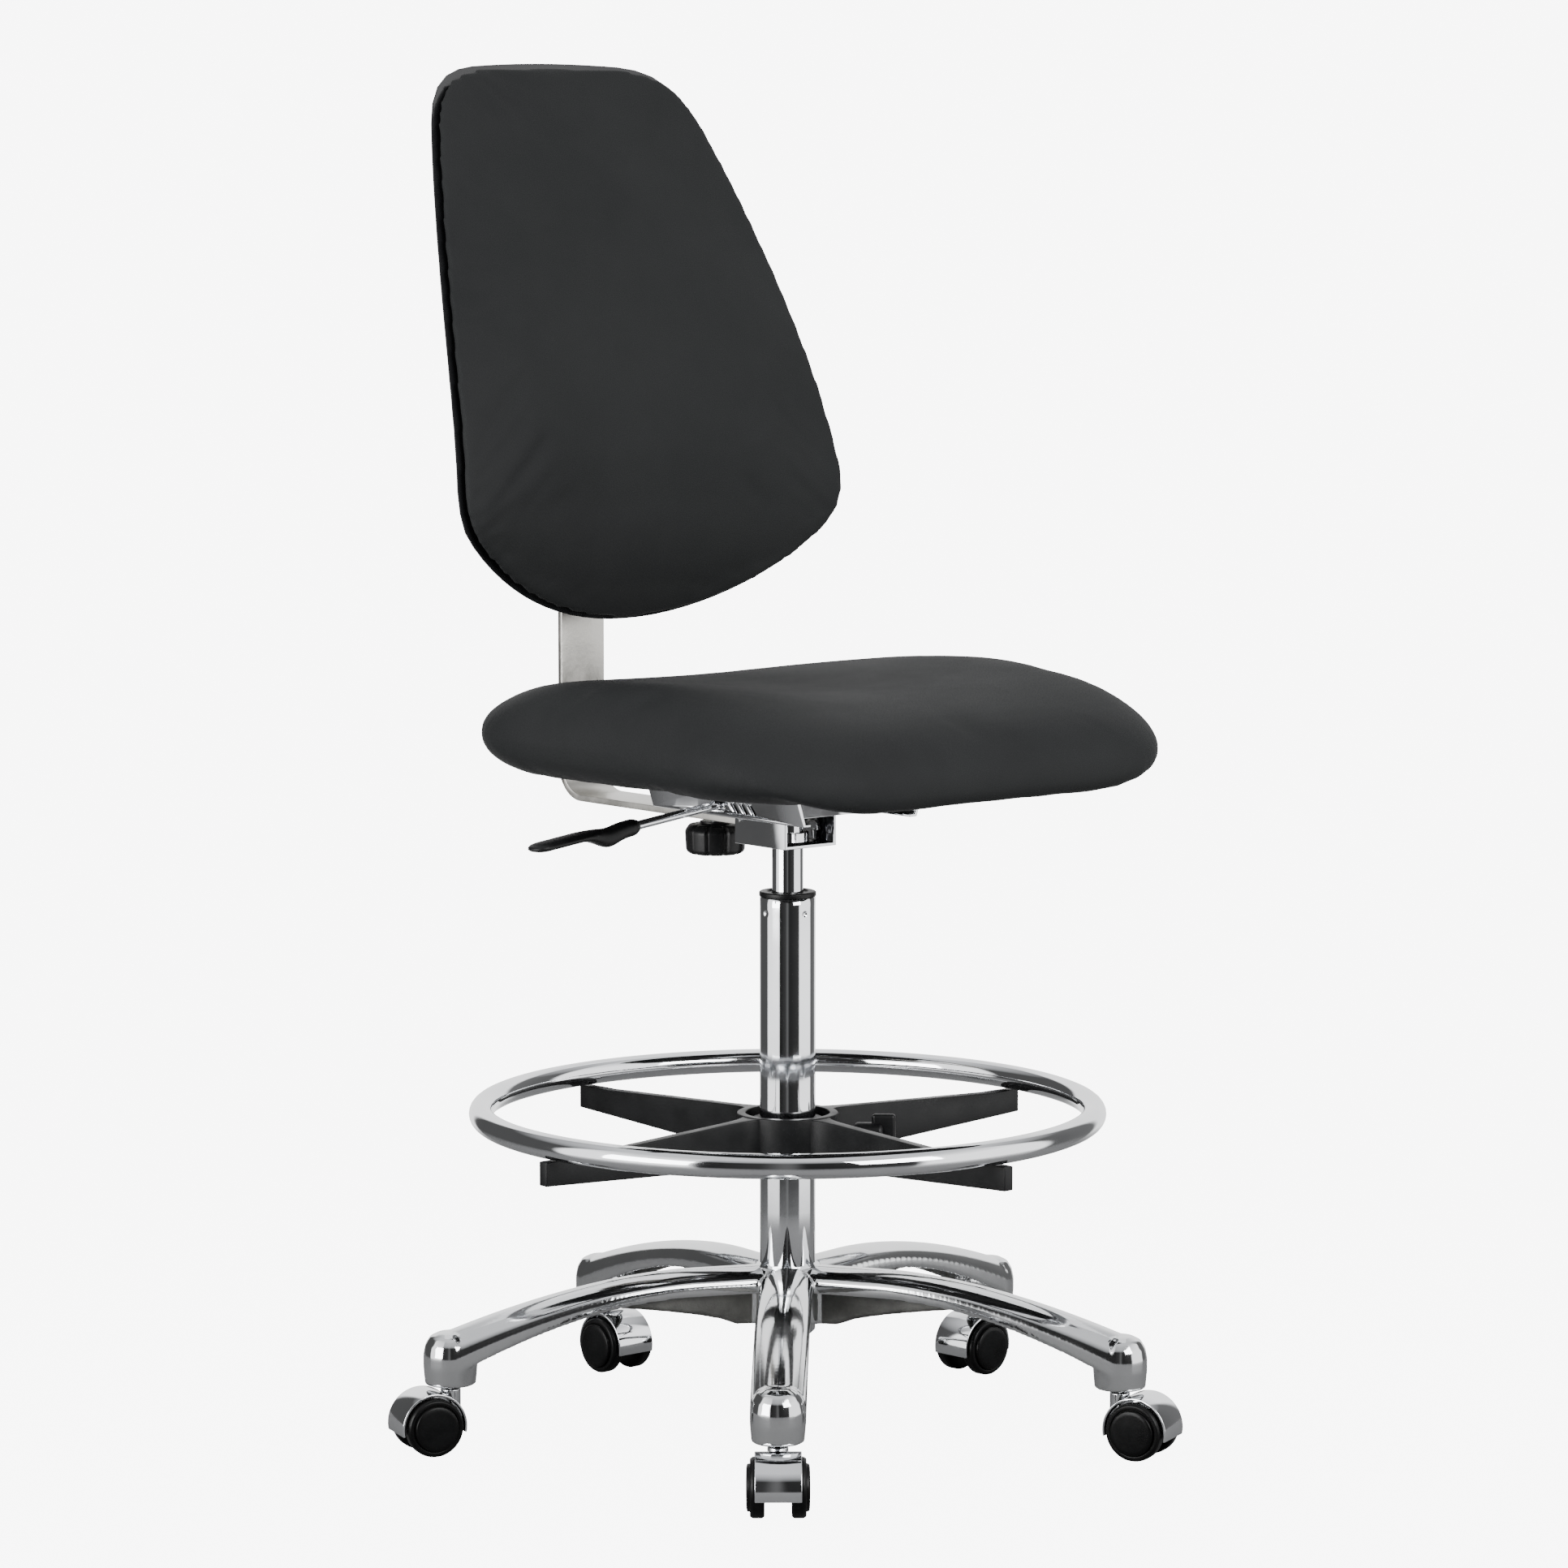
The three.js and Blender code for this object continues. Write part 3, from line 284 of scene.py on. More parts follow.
def object_of(name, mesh, *materials, sharp=32):
    """Turns a finished bmesh into an object that sits at the origin, smooth but for its edges."""
    data = bpy.data.meshes.new(name)
    mesh.to_mesh(data)
    mesh.free()
    for material in materials:
        data.materials.append(material)
    for face in data.polygons:
        face.use_smooth = True
    data.set_sharp_from_angle(angle=math.radians(sharp))
    made = bpy.data.objects.new(name, data)
    bpy.context.scene.collection.objects.link(made)
    return made


def joined(whole, piece):
    """Moves a finished bmesh into another one."""
    data = bpy.data.meshes.new("joined")
    piece.to_mesh(data)
    piece.free()
    whole.from_mesh(data)
    bpy.data.meshes.remove(data)


def turned(mesh, profile, steps=64, centre=(0, 0, 0), axis=(0, 0, 1)):
    """Spins a closed or axis-to-axis profile of (radius, height) points about an axis."""
    axis = Vector(axis).normalized()
    turn = Vector((0, 0, 1)).rotation_difference(axis).to_matrix().to_4x4()
    place = Matrix.Translation(Vector(centre)) @ turn
    points = [mesh.verts.new(place @ Vector((radius, 0, height))) for radius, height in profile]
    pairs = list(zip(points, points[1:]))
    if profile[0][0] > 1e-6 or profile[-1][0] > 1e-6:
        pairs.append((points[-1], points[0]))
    edges = [mesh.edges.new(pair) for pair in pairs]
    made = bmesh.ops.spin(
        mesh, geom=points + edges, cent=centre, axis=axis, angle=2 * math.pi, steps=steps, use_merge=True
    )
    mesh.verts.ensure_lookup_table()
    bmesh.ops.remove_doubles(mesh, verts=mesh.verts, dist=2e-6)
    bmesh.ops.recalc_face_normals(mesh, faces=mesh.faces)
    return made


def rounded(corners, radius, steps=4):
    """A profile with each of its corners replaced by a small arc."""
    result = []
    count = len(corners)
    for index, corner in enumerate(corners):
        here = Vector(corner)
        before = Vector(corners[index - 1])
        after = Vector(corners[(index + 1) % count])
        on_axis = corner[0] < 1e-6
        if on_axis:
            result.append(tuple(here))
            continue
        cut = min(radius, (before - here).length * 0.45, (after - here).length * 0.45)
        start = here + (before - here).normalized() * cut
        end = here + (after - here).normalized() * cut
        for step in range(steps + 1):
            t = step / steps
            point = start * (1 - t) ** 2 + here * 2 * t * (1 - t) + end * t * t
            result.append(tuple(point))
    return result


base_low, base_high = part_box("star_base")
hub_top = base_high.z
hub_bottom = 0.098
stem_lows = {i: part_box(f"caster_{i}_stem")[0] for i in range(1, 6)}
stem_highs = {i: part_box(f"caster_{i}_stem")[1] for i in range(1, 6)}
stem_places = {i: (stem_lows[i] + stem_highs[i]) / 2 for i in range(1, 6)}
column_axis = Vector((axis_x, axis_y, 0))
arm_reach = (Vector((stem_places[1].x, stem_places[1].y, 0)) - column_axis).length
arm_half = 0.024
arm_wall = 0.004
arm_end_top = 0.107
socket_bottom = base_low.z - 0.009
rib_end = 0.172
rib_half = 0.008


def arm_top(reach):
    t = max(0.0, (reach - 0.09) / (arm_reach - 0.09))
    return hub_top - (hub_top - arm_end_top - 0.001) * t ** 1.75


def arm_depth(reach):
    return 0.022 + 0.014 * max(0.0, (reach - 0.15) / (arm_reach - 0.15)) ** 1.6


def arm_section(reach):
    """The upside-down U of an arm at a reach from the hub, as points across and up."""
    points = []
    top = arm_top(reach)
    depth = arm_depth(reach)
    for wall, lift, order in ((0.0, 0.0, 1), (arm_wall, arm_wall, -1)):
        half = arm_half - wall
        side = [(half, top - depth)]
        for step in range(25):
            a = math.pi * step / 24
            across = math.copysign(abs(math.cos(a)) ** 0.8, math.cos(a)) * half
            rise = (1 - abs(math.cos(a)) ** 1.5) ** 0.55 * (depth * 0.6 - lift)
            side.append((across, top - depth * 0.6 + rise))
        side.append((-half, top - depth))
        points += side[::order]
    return points


casting = bmesh.new()
for i in range(1, 6):
    outward = (Vector((stem_places[i].x, stem_places[i].y, 0)) - column_axis).normalized()
    across = Vector((0, 0, 1)).cross(outward)
    reaches = [0.02 + (arm_reach - 0.02) * step / 60 for step in range(61)]
    loop = [
        casting.verts.new(column_axis + outward * reaches[0] + across * a + Vector((0, 0, z)))
        for a, z in arm_section(reaches[0])
    ]
    edges = [casting.edges.new((loop[k], loop[(k + 1) % len(loop)])) for k in range(len(loop))]
    bmesh.ops.contextual_create(casting, geom=edges)
    for reach in reaches[1:]:
        made = bmesh.ops.extrude_edge_only(casting, edges=edges)["geom"]
        new_verts = [v for v in made if isinstance(v, bmesh.types.BMVert)]
        edges = [e for e in made if isinstance(e, bmesh.types.BMEdge)]
        for vert, (a, z) in zip(new_verts, arm_section(reach)):
            vert.co = column_axis + outward * reach + across * a + Vector((0, 0, z))
    bmesh.ops.contextual_create(casting, geom=edges)
    rib = bmesh.new()
    outline = [(0.02, hub_bottom), (0.05, hub_bottom + 0.001)]
    for step in range(1, 9):
        t = step / 8
        rise = (arm_top(rib_end) - 0.022 - hub_bottom) * t ** 0.6
        outline.append((0.05 + (rib_end - 0.05) * t, hub_bottom + rise))
    outline += [(rib_end, arm_top(rib_end) - 0.008), (0.02, hub_top - 0.008)]
    flank = column_axis - across * rib_half
    flat = [rib.verts.new(flank + outward * r + Vector((0, 0, z))) for r, z in outline]
    side = rib.faces.new(flat)
    pulled = bmesh.ops.extrude_face_region(rib, geom=[side])["geom"]
    moved = [v for v in pulled if isinstance(v, bmesh.types.BMVert)]
    bmesh.ops.translate(rib, verts=moved, vec=across * rib_half * 2)
    bmesh.ops.recalc_face_normals(rib, faces=rib.faces)
    joined(casting, rib)
    place = stem_places[i]
    socket = bmesh.new()
    socket_profile = [
        (0, socket_bottom), (0.0226, socket_bottom), (0.0240, socket_bottom + 0.016),
        (0.0240, arm_end_top - 0.020), (0.0222, arm_end_top - 0.011), (0.0180, arm_end_top - 0.004),
        (0.0110, arm_end_top - 0.0005), (0, arm_end_top + 0.001),
    ]
    turned(socket, socket_profile, 40, (place.x, place.y, 0))
    joined(casting, socket)
hub = bmesh.new()
hub_profile = [
    (0, hub_bottom), (0.033, hub_bottom), (0.034, hub_top - 0.014), (0.0290, hub_top - 0.001), (0, hub_top),
]
turned(hub, hub_profile, 48, (axis_x, axis_y, 0))
joined(casting, hub)
bmesh.ops.recalc_face_normals(casting, faces=casting.faces)
star_base = object_of("star_base_casting", casting, polished_cast, raw_cast_with_painted_shade)


def apply_modifiers(piece):
    """Puts the result of a piece's modifiers into its mesh."""
    graph = bpy.context.evaluated_depsgraph_get()
    graph.update()
    finished = bpy.data.meshes.new_from_object(piece.evaluated_get(graph))
    piece.modifiers.clear()
    old = piece.data
    piece.data = finished
    bpy.data.meshes.remove(old)
    return piece


melt = star_base.modifiers.new("melt", "REMESH")
melt.mode = "VOXEL"
melt.voxel_size = 0.0018
settle = star_base.modifiers.new("settle", "SMOOTH")
settle.factor = 0.5
settle.iterations = 6
form = star_base.copy()
form.data = star_base.data.copy()
form.modifiers.clear()
bpy.context.scene.collection.objects.link(form)
hug = star_base.modifiers.new("hug", "SHRINKWRAP")
hug.target = form
hug.wrap_method = "NEAREST_SURFACEPOINT"
blend = star_base.modifiers.new("blend", "SMOOTH")
blend.factor = 0.5
blend.iterations = 5
apply_modifiers(star_base)
bpy.data.objects.remove(form)
# Faces in the hollow under each arm and on its rib take the raw casting, darkened as painted shade; all
# other faces stay polished.
for face in star_base.data.polygons:
    face.use_smooth = True
    middle = face.center - column_axis
    reach = math.hypot(middle.x, middle.y)
    nearest = max(
        range(1, 6), key=lambda k: middle.xy.dot((stem_places[k] - column_axis).xy.normalized())
    )
    outward = (stem_places[nearest] - column_axis).xy.normalized()
    across = abs(outward.x * middle.y - outward.y * middle.x)
    inside = across < arm_half - 0.0022 and middle.z < arm_top(reach) - 0.0030 - arm_depth(reach) * 0.45
    if inside and reach < arm_reach - 0.026 and reach > 0.036:
        face.material_index = 1
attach(star_base, "base")
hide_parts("star_base")

# ---------------------------------------------------------------------------------------------
# Casters. Each has a steel stem that stays in the arm's socket, a chromed hood whose core swivels
# on the stem and carries the axle, and two moulded black wheels.
chrome = finish(
    "chrome_plate", (0.76, 0.77, 0.79), (0.84, 0.85, 0.87), 1.0, (0.03, 0.09), 12, (45, 0.04, 0.001)
)
zinc_steel = finish(
    "zinc_steel", (0.50, 0.51, 0.53), (0.64, 0.65, 0.67), 1.0, (0.24, 0.38), 40, (420, 0.2, 0.0004)
)
wheel_nylon = finish(
    "wheel_nylon", (0.0015, 0.0015, 0.0016), (0.0035, 0.0035, 0.0037), 0.0, (0.26, 0.42), 35,
    (260, 0.25, 0.0004), coat=0.04, gloss=0.15,
)


def softened(mesh, width, segments=2, angle=32):
    """Rounds every edge of a mesh that is sharper than an angle."""
    sharp = [e for e in mesh.edges if e.is_manifold and e.calc_face_angle(0) > math.radians(angle)]
    bmesh.ops.bevel(
        mesh, geom=sharp, offset=width, offset_type="OFFSET", segments=segments, profile=0.5,
        affect="EDGES", clamp_overlap=True, material=-1,
    )


def plate(mesh, outline, low, high, across="X"):
    """Adds a flat outline in two directions, given thickness from low to high in the third."""
    corner = {
        "X": lambda a, b, c: Vector((c, a, b)),
        "Y": lambda a, b, c: Vector((a, c, b)),
        "Z": lambda a, b, c: Vector((a, b, c)),
    }[across]
    verts = [mesh.verts.new(corner(a, b, low)) for a, b in outline]
    face = mesh.faces.new(verts)
    pulled = bmesh.ops.extrude_face_region(mesh, geom=[face])["geom"]
    moved = [v for v in pulled if isinstance(v, bmesh.types.BMVert)]
    bmesh.ops.translate(mesh, verts=moved, vec=corner(0, 0, high - low))
    bmesh.ops.recalc_face_normals(mesh, faces=mesh.faces)


def arc(centre, radius, start, end, steps):
    """Points along an arc between two angles in degrees."""
    angles = [math.radians(start + (end - start) * step / steps) for step in range(steps + 1)]
    return [(centre[0] + radius * math.cos(a), centre[1] + radius * math.sin(a)) for a in angles]


wheel_radius = 0.026
hood_inner = wheel_radius + 0.0022
hood_outer = hood_inner + 0.0022
hood_half = 0.020
core_half = 0.008
boss_bore = 0.0059
boss_radius = 0.009
wheel_start = 0.0115
wheel_end = 0.027

for i in range(1, 6):
    axle_low, axle_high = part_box(f"caster_{i}_axle")
    axle = (axle_low + axle_high) / 2
    stem = stem_places[i]
    trail = (axle - stem).xy
    trail_length = trail.length
    facing = Matrix.Rotation(math.atan2(trail.x, -trail.y), 4, "Z")
    swivel = Matrix.Translation((stem.x, stem.y, 0)) @ facing
    centre = (-trail_length, axle.z)

    hood = bmesh.new()
    band = arc(centre, hood_outer, -12, 192, 40) + arc(centre, hood_inner, 192, -12, 40)
    plate(hood, band, -hood_half, hood_half)
    softened(hood, 0.0007, 3, 40)
    core = bmesh.new()
    core_outline = arc(centre, hood_inner + 0.001, -8, 188, 32) + arc(centre, boss_radius, 188, 352, 12)
    plate(core, core_outline, -core_half, core_half)
    softened(core, 0.0008, 2, 40)
    boss_top = hood_outer + axle.z
    boss = [
        (boss_bore, axle.z + 0.006), (boss_radius, axle.z + 0.004), (boss_radius, boss_top),
        (boss_bore, boss_top),
    ]
    turned(core, rounded(boss, 0.0012), 32)
    joined(hood, core)
    hood.transform(swivel)
    hood_piece = object_of(f"caster_{i}_hood_stamping", hood, chrome)
    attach(hood_piece, f"caster_{i}")
    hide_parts(f"caster_{i}_hood")

    for side, sign in (("left", -1), ("right", 1)):
        wheel = bmesh.new()
        profile = rounded(
            [
                (0.0034, wheel_start), (0.0245, wheel_start), (wheel_radius, wheel_start + 0.002),
                (wheel_radius, wheel_end - 0.0055), (wheel_radius - 0.0016, wheel_end - 0.0030),
                (wheel_radius - 0.0048, wheel_end - 0.0030), (wheel_radius - 0.0054, wheel_end - 0.0042),
                (wheel_radius - 0.0060, wheel_end - 0.0006), (wheel_radius - 0.0090, wheel_end),
                (0.006, wheel_end + 0.0003), (0, wheel_end + 0.0003), (0, wheel_end - 0.003),
                (0.0034, wheel_end - 0.003),
            ],
            0.0009, 3,
        )
        turned(wheel, profile, 72)
        outward_turn = Matrix.Rotation(math.radians(90 * sign), 4, "Y")
        wheel.transform(Matrix.Translation((0, -trail_length, axle.z)) @ outward_turn)
        wheel.transform(swivel)
        wheel_piece = object_of(f"caster_{i}_wheel_{side}_moulding", wheel, wheel_nylon, sharp=50)
        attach(wheel_piece, f"caster_{i}_{side}_wheel")
        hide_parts(f"caster_{i}_wheel_{side}")

    stem_turning = bmesh.new()
    collar = boss_top + 0.0003
    turned(
        stem_turning,
        rounded(
            [(0, stem_lows[i].z), (0.0055, stem_lows[i].z), (0.0055, collar), (0.008, collar),
             (0.008, socket_bottom - 0.0003), (0.0055, socket_bottom - 0.0003),
             (0.0055, stem_highs[i].z), (0, stem_highs[i].z)],
            0.0006, 3,
        ),
        32, (stem.x, stem.y, 0),
    )
    stem_piece = object_of(f"caster_{i}_stem_turning", stem_turning, wheel_nylon)
    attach(stem_piece, "base")
    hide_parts(f"caster_{i}_stem")

# ---------------------------------------------------------------------------------------------
# Column. A chromed steel tube that stands in the hub, crimped in four places near its top on the
# guide bushing inside it, with a black collar over its end and the chromed gas tube through it.
black_plastic = finish(
    "black_plastic", (0.0030, 0.0030, 0.0034), (0.0060, 0.0062, 0.0068), 0.0, (0.34, 0.5), 25,
    (900, 0.25, 0.0003), gloss=0.25,
)
grey_plastic = finish(
    "grey_plastic", (0.10, 0.105, 0.11), (0.15, 0.155, 0.16), 0.0, (0.4, 0.55), 30, (700, 0.2, 0.0003)
)
column_radius = (column_high.x - column_low.x) / 2
column_place = (axis_x, axis_y, 0)
collar_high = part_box("column_collar")[1]
collar_bottom = collar_high.z - 0.0045
column_top = collar_bottom - 0.0003
crimp_height = column_top - 0.014
crimp_radius = 0.0030
crimp_depth = 0.0012
tube_wall = 0.0015

tube = bmesh.new()
rows = [crimp_height - 0.006 + 0.0008 * step for step in range(16)]
tube_profile = (
    [(0.0054, column_low.z), (column_radius - 0.003, column_low.z), (column_radius, column_low.z + 0.003)]
    + [(column_radius, 0.2), (column_radius, 0.3), (column_radius, 0.4)]
    + [(column_radius, row) for row in rows]
    + [(column_radius, column_top - 0.0006), (column_radius - 0.0006, column_top)]
    + [(column_radius - tube_wall, column_top), (column_radius - tube_wall, column_low.z + 0.003)]
    + [(0.0054, column_low.z + 0.003)]
)
turned(tube, tube_profile, 180, column_place)
for k in range(4):
    turn = camera_turn + math.radians(-52 + 90 * k)
    way = Vector((math.sin(turn), -math.cos(turn), 0))
    dent = Vector((axis_x, axis_y, crimp_height)) + way * column_radius
    for vert in tube.verts:
        away = (vert.co - dent).length
        if away < crimp_radius:
            inward = Vector((axis_x - vert.co.x, axis_y - vert.co.y, 0)).normalized()
            vert.co += inward * crimp_depth * (1 - (away / crimp_radius) ** 2)
column = object_of("column_tube_plated", tube, chrome, sharp=50)
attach(column, "base")
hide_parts("column_tube")

collar = bmesh.new()
turned(
    collar,
    rounded(
        [(0.0146, collar_bottom), (0.0256, collar_bottom), (0.0256, collar_high.z - 0.0008),
         (0.0245, collar_high.z), (0.0190, collar_high.z), (0.0180, collar_high.z - 0.0016),
         (0.0146, collar_high.z - 0.0016)],
        0.0008, 3,
    ),
    96, column_place,
)
collar_piece = object_of("column_collar_moulding", collar, black_plastic)
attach(collar_piece, "base")
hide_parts("column_collar")

lift_low, lift_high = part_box("pressure_tube")
lift_radius = (lift_high.x - lift_low.x) / 2
lift = bmesh.new()
turned(
    lift,
    rounded(
        [(0.0054, lift_low.z), (lift_radius, lift_low.z), (lift_radius, lift_high.z), (0.0034, lift_high.z),
         (0.0034, lift_high.z - 0.006), (lift_radius - 0.0014, lift_high.z - 0.006),
         (lift_radius - 0.0014, lift_low.z + 0.006), (0.0054, lift_low.z + 0.006)],
        0.001, 3,
    ),
    96, column_place,
)
lift_piece = object_of("gas_tube_plated", lift, chrome)
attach(lift_piece, "seat")
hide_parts("pressure_tube")

# ---------------------------------------------------------------------------------------------
# Foot ring. A round chromed tube bent into a full circle and screwed under four webs of a moulded
# hub, which is clamped on the column by a split bush and a knob.
ring_low, ring_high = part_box("foot_ring")
ring_tube = (ring_high.z - ring_low.z) / 2
ring_radius = (ring_high.x - ring_low.x) / 2 - ring_tube
ring_height = (ring_low.z + ring_high.z) / 2
ring = bmesh.new()
turned(ring, arc((ring_radius, ring_height), ring_tube, 0, 345, 23), 192, column_place)
ring_piece = object_of("foot_ring_tube", ring, chrome, sharp=60)
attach(ring_piece, "footrest")
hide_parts("foot_ring")

web_low, web_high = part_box("ring_hub")
web_reach = ring_radius + 0.010
hub_bore = 0.0378
hub_radius = 0.0455
ring_turn = math.radians(2)


def lofted(mesh, sections):
    """Joins a row of outlines, each a list of points, into a closed solid."""
    verts = [mesh.verts.new(point) for point in sections[0]]
    edges = [mesh.edges.new((verts[k], verts[(k + 1) % len(verts)])) for k in range(len(verts))]
    bmesh.ops.contextual_create(mesh, geom=edges)
    for section in sections[1:]:
        made = bmesh.ops.extrude_edge_only(mesh, edges=edges)["geom"]
        edges = [e for e in made if isinstance(e, bmesh.types.BMEdge)]
        for vert, point in zip([v for v in made if isinstance(v, bmesh.types.BMVert)], section):
            vert.co = point
    bmesh.ops.contextual_create(mesh, geom=edges)
    bmesh.ops.recalc_face_normals(mesh, faces=mesh.faces)


ring_hub = bmesh.new()
hub_wall = [(hub_bore, web_low.z), (hub_radius, web_low.z), (hub_radius, web_high.z), (hub_bore, web_high.z)]
turned(ring_hub, rounded(hub_wall, 0.0014, 3), 96, column_place)
web_top_end = ring_low.z - 0.0003
web_stations = [
    0.0385, 0.042, 0.045, 0.049, 0.054, 0.061, 0.072, 0.10, 0.15, 0.20, 0.2449, 0.2451, 0.27, web_reach,
]
for k in range(4):
    turn = ring_turn + math.radians(90 * k)
    outward = Vector((math.sin(turn), -math.cos(turn), 0))
    across = Vector((math.cos(turn), math.sin(turn), 0))
    web = bmesh.new()
    sections = []
    for reach in web_stations:
        half = 0.0052 + 0.013 * math.exp(-max(0.0, reach - 0.0385) / 0.008)
        t = (reach - web_stations[0]) / (web_reach - web_stations[0])
        top = web_high.z - 0.0006 - (web_high.z - web_top_end) * min(1.0, t * 1.18)
        bottom = web_low.z + (web_top_end - 0.022 - web_low.z) * t
        centre = column_axis + outward * reach
        corners = ((-half, bottom), (half, bottom), (half, top), (-half, top))
        sections.append([centre + across * aside + Vector((0, 0, height)) for aside, height in corners])
    lofted(web, sections)
    softened(web, 0.0011, 3, 50)
    joined(ring_hub, web)
hub_piece = object_of("ring_hub_moulding", ring_hub, black_plastic)
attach(hub_piece, "footrest")
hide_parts("ring_hub")

bush_low, bush_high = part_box("ring_bush")
bush = bmesh.new()
bush_bore = column_radius + 0.0004
bush_radius = hub_bore - 0.0004
bush_wall = [
    (bush_bore, bush_low.z), (bush_radius, bush_low.z), (bush_radius, bush_high.z - 0.004),
    (column_radius + 0.006, bush_high.z), (bush_bore, bush_high.z),
]
turned(bush, rounded(bush_wall, 0.0012, 3), 96, column_place)
bush_piece = object_of("ring_bush_moulding", bush, black_plastic)
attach(bush_piece, "ring_slider")
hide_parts("ring_bush")

# The lock knob: a round boss on its stud with a flat wing across its end for the fingers.
knob_low, knob_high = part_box("ring_lock_knob")
lock_height = (knob_low.z + knob_high.z) / 2
lock_turn = ring_turn + math.radians(45)
lock_out = Vector((math.sin(lock_turn), -math.cos(lock_turn), 0))
lock_place = column_axis + Vector((0, 0, lock_height))
lock = bmesh.new()
lock_start = hub_radius + 0.0145
lock_end = hub_radius + 0.0405
lock_boss = [
    (0, lock_start), (0.0075, lock_start), (0.009, lock_start + 0.003), (0.009, lock_end - 0.0025),
    (0.0065, lock_end), (0, lock_end),
]
turned(lock, rounded(lock_boss, 0.0015, 3), 48, lock_place, lock_out)
wing = bmesh.new()
bmesh.ops.create_cube(wing, size=1, matrix=Matrix.Diagonal((0.0076, 0.0215, 0.0335, 1)))
softened(wing, 0.0032, 5, 40)
wing.transform(
    Matrix.Translation(lock_place + lock_out * (hub_radius + 0.041)) @ Matrix.Rotation(lock_turn, 4, "Z")
)
joined(lock, wing)
lock_piece = object_of("ring_lock_knob_moulding", lock, black_plastic)
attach(lock_piece, "ring_lock")
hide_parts("ring_lock_knob")

# ---------------------------------------------------------------------------------------------
# Seat mechanism. The pressed tray under the seat and the bracket round the gas tube are chromed
# sheet; the bolts, pins and studs are zinc-plated steel.
tray_low, tray_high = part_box("seat_tray")
tray_wing = (tray_high.x - tray_low.x) / 2
sheet = 0.0028
tray_floor = tray_low.z + 0.0010
wall_top = 0.076
wall_bottom = 0.066
tray = bmesh.new()
outer = [
    (-tray_wing, tray_high.z), (-tray_wing, tray_high.z - sheet), (-wall_top - 0.003, tray_high.z - sheet),
    (-wall_top, tray_high.z - sheet - 0.003), (-wall_bottom, tray_floor), (-wall_bottom + 0.009, tray_floor),
    (-wall_bottom + 0.009, tray_floor + sheet), (-wall_bottom + sheet, tray_floor + sheet),
    (-wall_top + sheet + 0.001, tray_high.z),
]
for turn_round in (1, -1):
    wall = bmesh.new()
    plate(wall, [(axis_x + turn_round * x, z) for x, z in outer], tray_low.y, tray_high.y, "Y")
    joined(tray, wall)
front_wall = bmesh.new()
lip_top = tray_high.z - 0.001
lip_bottom = tray_floor + 0.008
lip = [(-wall_top, lip_top), (-wall_bottom, lip_bottom), (wall_bottom, lip_bottom), (wall_top, lip_top)]
plate(front_wall, [(axis_x + x, z) for x, z in lip], tray_low.y + 0.0005, tray_low.y + 0.0035, "Y")
joined(tray, front_wall)
softened(tray, 0.0009, 3, 20)
bmesh.ops.recalc_face_normals(tray, faces=tray.faces)
tray_piece = object_of("seat_tray_pressing", tray, chrome, sharp=50)
cutter = bmesh.new()
wall_x = axis_x - (wall_top + wall_bottom) / 2
slot_lean = Matrix.Rotation(math.radians(-25), 4, "X") @ Matrix.Diagonal((0.03, 0.005, 0.012, 1))
for k in range(3):
    slot_place = Matrix.Translation((wall_x, axis_y - 0.034 + 0.012 * k, tray_low.z + 0.011))
    bmesh.ops.create_cube(cutter, size=1, matrix=slot_place @ slot_lean)
lever_window = Matrix.Translation((wall_x, axis_y + 0.011, tray_low.z + 0.017))
bmesh.ops.create_cube(cutter, size=1, matrix=lever_window @ Matrix.Diagonal((0.03, 0.014, 0.018, 1)))
softened(cutter, 0.0018, 3, 40)
cutter_piece = object_of("slot_cutter", cutter)
slots = tray_piece.modifiers.new("slots", "BOOLEAN")
slots.object = cutter_piece
slots.solver = "EXACT"
slots.use_self = True
apply_modifiers(tray_piece)
bpy.data.objects.remove(cutter_piece)
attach(tray_piece, "seat")
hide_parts("seat_tray")

bracket = bmesh.new()
bracket.from_mesh(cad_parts["lift_bracket"].data)
bracket.transform(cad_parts["lift_bracket"].matrix_world)
bmesh.ops.remove_doubles(bracket, verts=bracket.verts, dist=1e-6)
bmesh.ops.dissolve_limit(bracket, angle_limit=math.radians(2), verts=bracket.verts, edges=bracket.edges)
softened(bracket, 0.0007, 3, 60)
bracket_piece = object_of("lift_bracket_pressing", bracket, chrome)
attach(bracket_piece, "seat")
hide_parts("lift_bracket")

steel_nodes = ["piston_rod", "rod_clip", "thrust_bearing", "release_pin", "tilt_pivot_pin"]
steel_nodes += ["tilt_knob_stud", "ring_lock_stud"]
steel_nodes += [f"seat_bolt_{k}" for k in range(1, 5)] + [f"caster_{k}_axle" for k in range(1, 6)]
for name in steel_nodes:
    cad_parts[name].data.materials.clear()
    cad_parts[name].data.materials.append(zinc_steel)
for name in ("guide_bushing", "piston"):
    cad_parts[name].data.materials.clear()
    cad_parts[name].data.materials.append(grey_plastic)

# ---------------------------------------------------------------------------------------------
# Height lever. A bent steel rod that rocks in the bracket's wall and presses the gas valve, with
# a moulded paddle pushed on its outer end.
pin_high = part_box("release_pin")[1]
lever_radius = 0.004
lever_height = pin_high.z + 0.0006 + lever_radius
paddle_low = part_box("lever_handle")[0]


def rod_along(mesh, points, radius, sides=20):
    """A round rod through a row of points."""
    sections = []
    for index, point in enumerate(points):
        here = Vector(point)
        ahead = Vector(points[min(index + 1, len(points) - 1)]) - Vector(points[max(index - 1, 0)])
        turn = Vector((0, 0, 1)).rotation_difference(ahead.normalized())
        angles = [2 * math.pi * side / sides for side in range(sides)]
        sections.append([here + turn @ Vector((math.cos(a), math.sin(a), 0)) * radius for a in angles])
    lofted(mesh, sections)


